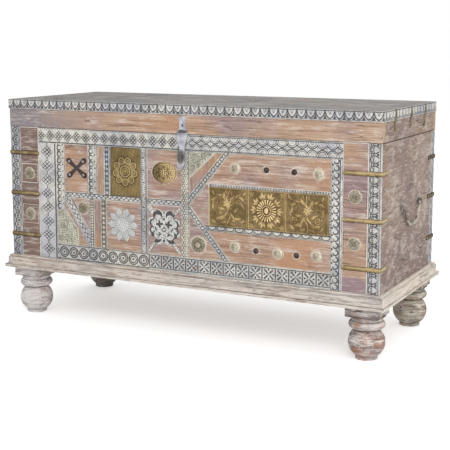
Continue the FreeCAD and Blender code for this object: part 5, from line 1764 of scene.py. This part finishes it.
@dataclass
class Mounts:
    """Metal fixed on the panels: cross, medallion, star, pierced foliage, bosses and studs."""

    thickness: float = 2.5
    sunk: float = 0.5
    cross: Point = (-336.0, 443.0)
    cross_half: float = 41.0
    cross_turns: Point = (37.0, -41.0)
    cross_rim: tuple = (0.6,)
    medallion: Point = (-50.0, 447.0)
    medallion_half: Point = (37.0, 29.0)
    star: Point = (-184.0, 293.0)
    star_reach: Point = (36.0, 49.0)
    star_points: int = 10
    star_dots: tuple = ((21.0, 20, 2.1), (15.4, 14, 1.3), (9.8, 9, 1.5), (4.2, 5, 1.2))
    pierced: Point = (-51.0, 296.0)
    pierced_corners: tuple = ((-104, 220), (4, 220), (4, 358), (-104, 358))
    ribbons: tuple = (3.0, 3.6, 2.6, 6.5)
    crescents: tuple = (
        (18, 29, 13.5, 16.5, 21, 10.5, 1.0), (22, -24, 15.5, 16.5, -18, 12.5, 1.0),
        (31, 9, 11.0, 26.5, 9, 9.5, 0.9), (32, -8, 10.0, 28.0, -8, 8.5, 0.9),
    )
    sprigs: tuple = ((20, 6, 20), (20, -7, -20), (9, 15, 60), (9, -15, -60))
    bosses: tuple = (
        *(Boss(x, z, 16.5, 0.0, 7.0) for x in (-498.5, 497.5) for z in COLUMN_BOSSES),
        Boss(165.0, 471.0), Boss(400.0, 469.0), Boss(165.0, 263.0), Boss(288.0, 256.0), Boss(396.0, 260.0),
        Boss(-315.2, 330.7, 17.0), Boss(55.0, 258.0, 23.0),
    )
    studs: tuple = ((254.0, 471.0), (332.0, 470.0), (225.0, 257.0), (340.0, 256.0))
    stud_radius: float = 7.5
    stud_rise: float = 3.4
    medallion_steps: tuple[int, int] = (44, 200)
    star_steps: tuple[int, int] = (56, 320)
    pierced_steps: tuple[int, int] = (60, 480)
    boss_steps: tuple[int, int] = (18, 72)
    stud_steps: tuple[int, int] = (9, 28)

    def build(self) -> None:
        """Builds every mount."""
        self._cross()
        self._medallion()
        self._star()
        self._pierced()
        self._heads()

    def _mount(self, name: str, finish: Finish, slot: str, node: str, *head: object) -> None:
        """Makes a piece of one head on a panel.

        Args:
            name: The piece's name.
            finish: Its finish.
            slot: Not used.
            node: The node that it stands for.
            head: Its middle, its reach, its profile and its steps.
        """
        shell = Shell()
        centre, reach, profile, steps = head
        roundel(shell, centre, reach, profile, PANEL - self.sunk, steps)
        fit_out(shell, name, finish, node)

    def _cross(self) -> None:
        """Two leaf-ended bars: half width 4.4 at the waist and 8.0 near the ends, with a ridge and nails."""
        shell = Shell()
        s = np.linspace(-1, 1, 25)
        notch = 1 - 0.35 * np.clip(1 - abs(abs(s) - 0.52) / 0.09, 0, 1)
        half = (4.4 + 3.6 * np.clip(abs(s) / 0.78, 0, 1) ** 2) * (1 - smooth(0.82, 1.04, abs(s)) * 0.7) * notch
        for number, turn in enumerate(self.cross_turns):
            c, n = math.cos(math.radians(turn)), math.sin(math.radians(turn))
            a = s * self.cross_half
            high, low = (
                tuple(zip(self.cross[0] + a * c + w * n, self.cross[1] - a * n + w * c))[::-1] for w in (half, -half)
            )

            def face(x: Array, z: Array, gap: Array, c: float = c, n: float = n, lift: float = 0.02 * number) -> Pair:
                """A ridge along the bar, and a round bright nail near each end."""
                dx, dz = x - self.cross[0], z - self.cross[1]
                along, off = dx * c - dz * n, dx * n + dz * c
                nail = dome(((abs(along) - 30.0) ** 2 + off**2) / 16.0)
                ridge = 0.5 * groove(off, 1.2, 1.0) * smooth(26.0, 20.0, abs(along))
                out = PANEL + self.thickness + lift + nail * 1.5 + ridge - rounded(gap, 0.9, 2.2)
                return out, 0.3 - 1.9 * smooth(0.2, 0.6, nail)

            slab(shell, FRONT, Outline(high, low), face, PANEL - self.sunk, CARVED_STEP, self.cross_rim)
        fit_out(shell, "leaf_cross", CROSS_IRON, "iron_cross")

    def _medallion(self) -> None:
        """An oval: a raised rim, a ring of leaves and a blossom, on r(angle) = an ellipse."""
        half_x, half_z = self.medallion_half

        def reach(angle: Array) -> Array:
            """The ellipse's radius at an angle."""
            return half_x * half_z / np.hypot(half_z * np.cos(angle), half_x * np.sin(angle))

        def profile(share: Array, angle: Array) -> Pair:
            """The medallion's section and its leaves."""
            far = share * reach(angle)
            x, z = far * np.cos(angle), far * np.sin(angle)
            rim = groove((share - 0.94) * 33, 1.4, 0.8) * (0.55 + 0.45 * abs(np.cos(angle * 22)))
            leaves = smooth(0.60, 0.66, share) * smooth(0.88, 0.82, share) * (0.4 + 0.6 * abs(np.cos(angle * 12)))
            flower = blossom(x, z, (0, 0), 15, 8) * 1.1
            leaves_about = mirrored_leaves(tuple((*sprig, 8.0, 3.6) for sprig in self.sprigs))
            sprigs = most(*(leaf(x, z, place) for place in leaves_about))
            bent, swung = x + 2.0 * np.sin(z * 0.4), z + 2.0 * np.sin(x * 0.37)
            pecks = np.clip(0.5 + 1.1 * np.sin(bent * 1.0 + swung * 0.45) * np.sin(swung * 1.05 - bent * 0.35), 0, 1)
            raised = most(rim, leaves * 0.8, flower, sprigs * 0.8) * 0.35 + 0.65 * pecks
            out = PANEL + 1.2 + 2.4 * dome(share**2 * 0.96) + raised * 1.2 - 1.2 * smooth(0.97, 1.0, share)
            # Painted light: the recess falls from left to right, so the left half of the dome is painted darker and the
            # right half brighter.
            return out, np.clip(2.5 - raised * 4.0 - 1.2 * x / half_x, -1.4, 1.5)

        head = (self.medallion, reach, profile, self.medallion_steps)
        self._mount("leaf_medallion", RELIEF_BRASS, "brass", "oval_medallion", *head)

    def _star(self) -> None:
        """A star of ten points: r falls in straight lines from high at a point to low between two."""
        low, high = self.star_reach
        point = math.tau / self.star_points

        def reach(angle: Array) -> Array:
            """The star's outline, with small teeth along each side."""
            away = abs(repeat(angle, point, math.pi / 2)) / (point / 2)
            return high - (high - low) * away + 0.7 * np.sin(angle * 80)

        def profile(share: Array, angle: Array) -> Pair:
            """Dots on rings, a fold between the points and fine veins that fan out to the edge."""
            far = share * reach(angle)
            dots = np.zeros_like(far)
            for radius, count, size in self.star_dots:
                dots = most(dots, disc(repeat(angle, math.tau / count) * radius, far - radius, size))
            folds = groove(repeat(angle, point) * far, 1.1) * smooth(25.0, 31.0, far)
            veins = groove(repeat(angle, point / 8) * far, 0.7) * smooth(24.0, 27.0, far) * 0.6
            combs = most(groove(far - 25.0, 0.9), groove(far - 12.6, 0.6) * 0.5)
            steps = groove(repeat(far, 5.2, 1.0), 0.8) * smooth(27.0, 29.0, far) * 0.5
            curve = 0.9 * smooth(9.0, 0.0, abs(repeat(angle, point, math.pi / 2) * far)) * smooth(26.0, 34.0, far)
            cut = most(dots, folds * 0.8, veins, combs * 0.6, steps)
            out = PANEL + self.thickness - 0.7 + curve - 1.0 * cut - 0.9 * smooth(0.94, 1.0, share)
            return out, np.clip(dots * 0.9 + folds * 0.5 + veins * 0.8 + combs * 0.5 + steps * 0.6, 0, 1)

        head = (self.star, reach, profile, self.star_steps)
        self._mount("dotted_star", WHITE_METAL, "white_metal", "star_applique", *head)

    def _pierced(self) -> None:
        """White metal foliage with dark piercings, and ribbons that run to the panel's corners."""
        cx, cz = self.pierced
        tips = [(math.atan2(z - cz, x - cx), math.hypot(x - cx, z - cz) - 7.0) for x, z in self.pierced_corners]

        def reach(angle: Array) -> Array:
            """A lobed disc, widened to ribbons: half width / |sin| about each corner's direction."""
            whole = 47.5 + 5.0 * np.cos(8 * (angle - math.pi / 8))
            for (turn, length), half in zip(tips, self.ribbons):
                off = np.mod(angle - turn + math.pi, math.tau) - math.pi
                ribbon = np.minimum(half / np.maximum(abs(np.sin(off)), 1e-4), length)
                whole = most(whole, np.where(abs(off) < 0.5, ribbon, 0))
            return whole

        def profile(share: Array, angle: Array) -> Pair:
            """Crescents, four-leaved stars and curls, cut dark into the metal."""
            far = share * reach(angle)
            x, z = far * np.cos(angle) * 0.9, far * np.sin(angle) * 0.9
            dark = np.zeros_like(far)
            for sx in (-1, 1):
                for cx, cz, radius, hole_x, hole_z, hole, depth in self.crescents:
                    moon = disc(x - sx * cx, z - cz, radius) * (1 - disc(x - sx * hole_x, z - hole_z, hole))
                    dark = most(dark, moon * depth)
                dx, dz = x - sx * 13.0, z - 8
                petals = 6.3 * (1.2 + 0.55 * np.cos(4 * np.arctan2(dz, dx) + 0.5 * sx))
                star = smooth(1.0, 0.85, np.hypot(dx, dz) / petals)
                dx, dz = x - sx * 12.5, z + 17
                small = smooth(1.0, 0.8, np.hypot(dx, dz) / (3.6 * (1.2 + 0.6 * np.cos(3 * np.arctan2(dz, dx)))))
                sprig = smooth(0.1, 0.5, leaf(x, z, (sx * 23, -4, 90 - sx * 30, 6.5, 2.4)))
                dark = most(dark, star, small * 0.9, sprig * 0.8)
            dots = most(disc(x, z - 21, 3.0), disc(x, z + 33, 3.4), disc(x, z - 38, 2.4))
            dark = most(dark, dots, ring(x, z + 5, 4.6, 1.4) * 0.8, groove(x, 0.9) * groove(z + 18, 8.0) * 0.7)
            bent, swung = x + 2.0 * np.sin(z * 0.5), z + 2.0 * np.sin(x * 0.45)
            flecks = smooth(0.25, 0.65, np.sin(bent * 0.75) * np.sin(swung * 0.7)) * smooth(56.0, 50.0, far)
            dark = most(dark, flecks * 0.8)
            tip = 0.5 * smooth(52.0, 56.0, far) * (0.4 + 0.6 * groove(repeat(far, 8.0), 2.0, 1.2))
            out = PANEL + self.thickness - 0.5 - 1.4 * dark - 0.8 * smooth(0.95, 1.0, share)
            return out, most(dark, tip)

        head = (self.pierced, reach, profile, self.pierced_steps)
        self._mount("pierced_foliage", BLACK_AND_WHITE, "white_metal", "foliage_applique", *head)

    def _heads(self) -> None:
        """The brass bosses and the smooth iron studs."""
        shell, studs = Shell(), Shell()
        for boss in self.bosses:
            roundel(shell, (boss.x, boss.z), boss.reach, boss.profile, boss.seat - self.sunk, self.boss_steps)
        fit_out(shell, "rayed_bosses", BOSS_BRASS, "brass_bosses")

        def reach(angle: Array) -> Array:
            """The same radius at every angle."""
            return np.full_like(angle, self.stud_radius)

        def head(share: Array, _: Array) -> Pair:
            """A smooth head: H sqrt(1 - share^2) at every angle."""
            return PANEL + 0.5 + self.stud_rise * dome(share**2), 0.25 * smooth(0.7, 1.0, share)

        for place in self.studs:
            roundel(studs, place, reach, head, PANEL - self.sunk, self.stud_steps)
        fit_out(studs, "round_studs", IRON, "iron_studs")


@dataclass
class Lid:
    """The lid: carved strips along its front and sides, and the boards under them."""

    foot: float = 605.0
    head: float = 632.0
    thickness: float = 3.0

    def build(self) -> None:
        """Builds the carved strips and dresses the boards."""
        long = HALF_LENGTH + LID_OVERHANG
        front = level(-long, long, self.foot, self.head, Carving.NICHES, plane=LID_FRONT, back=-self.thickness)
        fit_out(front, "niche_strip_front", BLUE_CARVING, "lid_strip_front", "lid")
        sides = Shell()
        for plane in (LID_RIGHT, LID_LEFT):
            level(-HALF_DEPTH, HALF_DEPTH, self.foot, self.head, Carving.NICHES, plane=plane,
                  back=-self.thickness, shell=sides)
        fit_out(sides, "niche_strips_side", BLUE_CARVING, "lid_strips_side", "lid")
        dress(LID_WOOD, "lid_planks")
        dress(LID_FRONT_WOOD, "lid_front")
        dress(SIDE_WOOD, "lid_sides")
        dress(BACK_WOOD, "lid_back")


@dataclass
class Case:
    """The boards of the case, its plinth and its feet, which keep their CAD shapes."""

    finishes: tuple = (
        (INNER_WOOD, "floor_board"), (SIDE_WOOD, "right_board", "left_board", "front_board"),
        (BACK_WOOD, "back_board"), (PLINTH_WOOD, "plinth_front", "plinth_back"),
        (PLINTH_SIDE_WOOD, "plinth_left", "plinth_right"), (FOOT_WOOD, "foot_front_right"),
        (SHADED_FOOT_WOOD, "foot_rear_left"), (PALE_FOOT_WOOD, "foot_front_left"),
        (OLIVE_FOOT_WOOD, "foot_rear_right"),
    )

    def build(self) -> None:
        """Dresses the boards, the plinth and the feet."""
        for finish, *nodes in self.finishes:
            dress(finish, *nodes)


@dataclass
class Ironwork:
    """Straps, nails, hinges, handles and the hasp."""

    front_arms: Point = (101.0, 56.0)
    rear_arms: Point = (44.0, 64.0)
    front_levels: tuple = (239.0, 360.0, 478.0)
    rear_levels: tuple = (254.0, 372.0, 480.0)
    stations: tuple = (0, 0.4, 1.2, 2.5, 4.2, 6.5, 10, 14, 18)
    width: float = 12.0
    crown: float = 3.0
    nailed: float = 1.7
    bend: float = 1.5
    rim: float = 0.4
    sunk: float = 0.3
    end_round: float = 5.0

    def build(self) -> None:
        """Builds the corner straps and dresses the rest of the metal."""
        shell = Shell()
        for side in (1, -1):
            # Painted shade darkens the left front straps and, more strongly, the rear straps.
            for end, arms, levels, painted_shade in (
                (-1, self.front_arms, self.front_levels, 0.0 if side > 0 else 0.5),
                (1, self.rear_arms, self.rear_levels, 1.25),
            ):
                along = (side * (HALF_LENGTH - arms[0]), end * HALF_DEPTH)
                flank = (side * HALF_LENGTH, end * (HALF_DEPTH - arms[1]))
                path = (along, (side * HALF_LENGTH, end * HALF_DEPTH), flank)[::-end * side]
                for middle in levels:
                    self._strap(shell, path, middle, painted_shade)
        fit_out(shell, "half_round_straps", STRAP_BRASS, "corner_straps")
        dress(STRAP_BRASS, "strap_nails")
        dress(OLD_BRASS, "lid_straps", "lid_nails")
        dress(IRON, "hinge_case_leaves", "hinge_lid_leaves", "hinge_pins")
        dress(HANDLE_IRON, "handle_left", "handle_right", "handle_ears")
        dress(PALE_IRON, "hasp_plate", "hasp_pin", "hasp_arm", "hasp_staple")

    def _strap(self, shell: Shell, path: tuple[Point, ...], middle: float, painted_shade: float) -> None:
        """Adds a half-round bar bent round a corner of the case.

        At each station of the path, a point is base + normal * (rim + (crown - rim) sqrt(1 - w^2)),
        half * w above the middle, with w from -1 to 1. Both crown and half shrink towards the ends.

        Args:
            shell: The piece that it joins.
            path: Its first end, the corner and its other end, with the case on its left seen from above.
            middle: The height of its middle.
            painted_shade: How much painted shade darkens it.
        """
        first, corner, last = (np.array(point) for point in path)
        ways = [(b - a) / np.hypot(*(b - a)) for a, b in ((first, corner), (corner, last))]
        normals = [np.array([way[1], -way[0]]) for way in ways]
        centre = corner - self.bend * (normals[0] + normals[1])
        turn = np.linspace(0, math.pi / 2, 6)[:, None]
        around = normals[0] * np.cos(turn) + normals[1] * np.sin(turn)
        runs = []
        for end, normal in ((first, normals[0]), (last, normals[1])):
            start = centre + self.bend * normal
            reach = np.hypot(*(start - end))
            share = np.concatenate([self.stations, np.linspace(22, reach, 5)])[:-1, None] / reach
            runs.append((end + share * (start - end), np.repeat(normal[None], len(share), 0)))
        base = np.concatenate([runs[0][0], centre + self.bend * around, runs[1][0][::-1]])
        out = np.concatenate([runs[0][1], around, runs[1][1][::-1]])
        away = np.minimum(np.hypot(*(base - first).T), np.hypot(*(base - last).T))
        half = self.width / 2 * np.sqrt(1 - np.clip(1 - (away + 0.2) / self.end_round, 0, 1) ** 2)
        crown = self.nailed + (self.crown - self.nailed) * smooth(9.0, 18.0, away)
        w = np.concatenate([np.sin(np.linspace(-1, 1, 11) * math.pi / 2), [1.0, -1.0]])
        lift = self.rim + (crown[:, None] - self.rim) * dome(w**2)
        lift[:, -2:] = -self.sunk
        flat = base[:, None, :] + out[:, None, :] * lift[..., None]
        height = middle + half[:, None] * w[None, :]
        points = np.concatenate([flat, height[..., None]], axis=2).reshape(-1, 3)
        # Painted light: the underside and top edge of the bar are darkened as shade, and a band just above the crown is
        # brightened as a highlight.
        painted_light = 0.9 * smooth(0.45, 0.95, -w) + 0.4 * smooth(0.9, 1.0, w) - 0.8 * groove(w - 0.25, 0.3, 0.25) + painted_shade
        start = shell.add(points, np.tile(painted_light, len(base)), 0.0)
        grid = start + np.arange(len(points)).reshape(len(base), -1)
        turned = np.roll(grid, -1, axis=1)
        shell.faces += np.stack([grid[:-1], grid[1:], turned[1:], turned[:-1]], -1).reshape(-1, 4).tolist()
        shell.faces += [grid[0].tolist(), grid[-1, ::-1].tolist()]


@dataclass
class Studio:
    """The camera at the photograph's angle, plain soft light and a pale floor."""

    azimuth: float = 27.24
    elevation: float = 7.75
    distance: float = 3053.4
    aim_height: float = 300.0
    slide: float = 18.16
    climb: float = 102.07
    lens: float = 84.776
    sensor: float = 36.0
    shift: float = -0.1
    ambient: float = 0.62
    floor_size: float = 40.0
    floor_colour: Colour = (240, 240, 240)
    glow: float = 0.42
    lamps: tuple = (
        ("key", (2.3, -3.3, 2.7), 2.6, 96.0), ("side", (3.9, -0.6, 2.4), 2.6, 22.0),
        ("fill", (-3.4, -2.4, 2.6), 3.2, 9.0), ("back", (-0.5, 3.4, 3.2), 3.0, 40.0),
    )
    lit_height: float = 0.35

    def build(self) -> None:
        """Sets the camera, the lamps, the world and the floor."""
        self._camera()
        for name, place, size, power in self.lamps:
            self._lamp(name, place, size, power)
        self._world()
        self._floor()
        bpy.context.scene.view_settings.view_transform = "Standard"

    def _camera(self) -> None:
        """The camera, from its direction, its distance and a slide in its own plane."""
        a, e = math.radians(self.azimuth), math.radians(self.elevation)
        back = Vector((math.sin(a) * math.cos(e), -math.cos(a) * math.cos(e), math.sin(e)))
        right = Vector((math.cos(a), math.sin(a), 0))
        up = back.cross(right)
        place = Vector((0, 0, self.aim_height)) + back * self.distance + right * self.slide + up * self.climb
        camera = bpy.data.cameras.new("camera")
        camera.lens = self.lens
        camera.sensor_width = self.sensor
        camera.shift_y = self.shift
        camera.clip_start, camera.clip_end = 0.1, 100.0
        holder = bpy.data.objects.new("camera", camera)
        holder.location = place * MILLIMETRE
        holder.rotation_euler = (-back).to_track_quat("-Z", "Y").to_euler()
        bpy.context.scene.collection.objects.link(holder)
        bpy.context.scene.camera = holder

    def _lamp(self, name: str, place: tuple[float, float, float], size: float, power: float) -> None:
        """Adds a soft square lamp that faces the chest.

        Args:
            name: Its name.
            place: Where it stands, in metres.
            size: Its width.
            power: Its power, in watts.
        """
        lamp = bpy.data.lights.new(name, "AREA")
        lamp.size = size
        lamp.energy = power
        holder = bpy.data.objects.new(name, lamp)
        holder.location = place
        holder.rotation_euler = (Vector((0, 0, self.lit_height)) - Vector(place)).to_track_quat("-Z", "Y").to_euler()
        bpy.context.scene.collection.objects.link(holder)

    def _world(self) -> None:
        """A white world to the camera and in reflections, and a weaker one as light."""
        world = bpy.data.worlds.new("studio")
        world.use_nodes = True
        nodes = Nodes(world.node_tree)
        seen = nodes.direct_rays()
        dim, white = (nodes.node("Background", {0: WHITE, 1: power}) for power in (self.ambient, 1.0))
        both = nodes.node("MixShader", {0: seen, 1: dim, 2: white})
        nodes.plug(nodes.tree.nodes.new("ShaderNodeOutputWorld").inputs[0], both)
        bpy.context.scene.world = world

    def _floor(self) -> None:
        """A pale floor that looks white to the camera and keeps the chest's shadow."""
        half = self.floor_size / 2
        mesh = bpy.data.meshes.new("floor")
        mesh.from_pydata([(-half, -half, 0), (half, -half, 0), (half, half, 0), (-half, half, 0)], [], [(0, 1, 2, 3)])
        floor = bpy.data.objects.new("floor", mesh)
        bpy.context.scene.collection.objects.link(floor)
        recipe = Recipe("floor")
        mesh.materials.append(recipe.finish(base_color=linear(self.floor_colour), roughness=0.9))
        strength = recipe.direct_rays() * self.glow
        glow = recipe.node("Emission", {"Color": WHITE, "Strength": strength})
        both = recipe.node("AddShader", {0: Wire(recipe, recipe.shader.outputs[0]), 1: glow})
        recipe.plug(recipe.output.inputs[0], both)


def main() -> None:
    """Builds every part of the chest in order, then the studio."""
    logging.basicConfig(level=logging.INFO, format="%(name)s: %(message)s")
    for kind in (Case, FrontBorder, FieldStrips, FieldPanels, BrassPlates, Mounts, Lid, Ironwork, Studio):
        log.info("building %s", kind.__name__)
        kind().build()


if __name__ == "__main__":
    main()
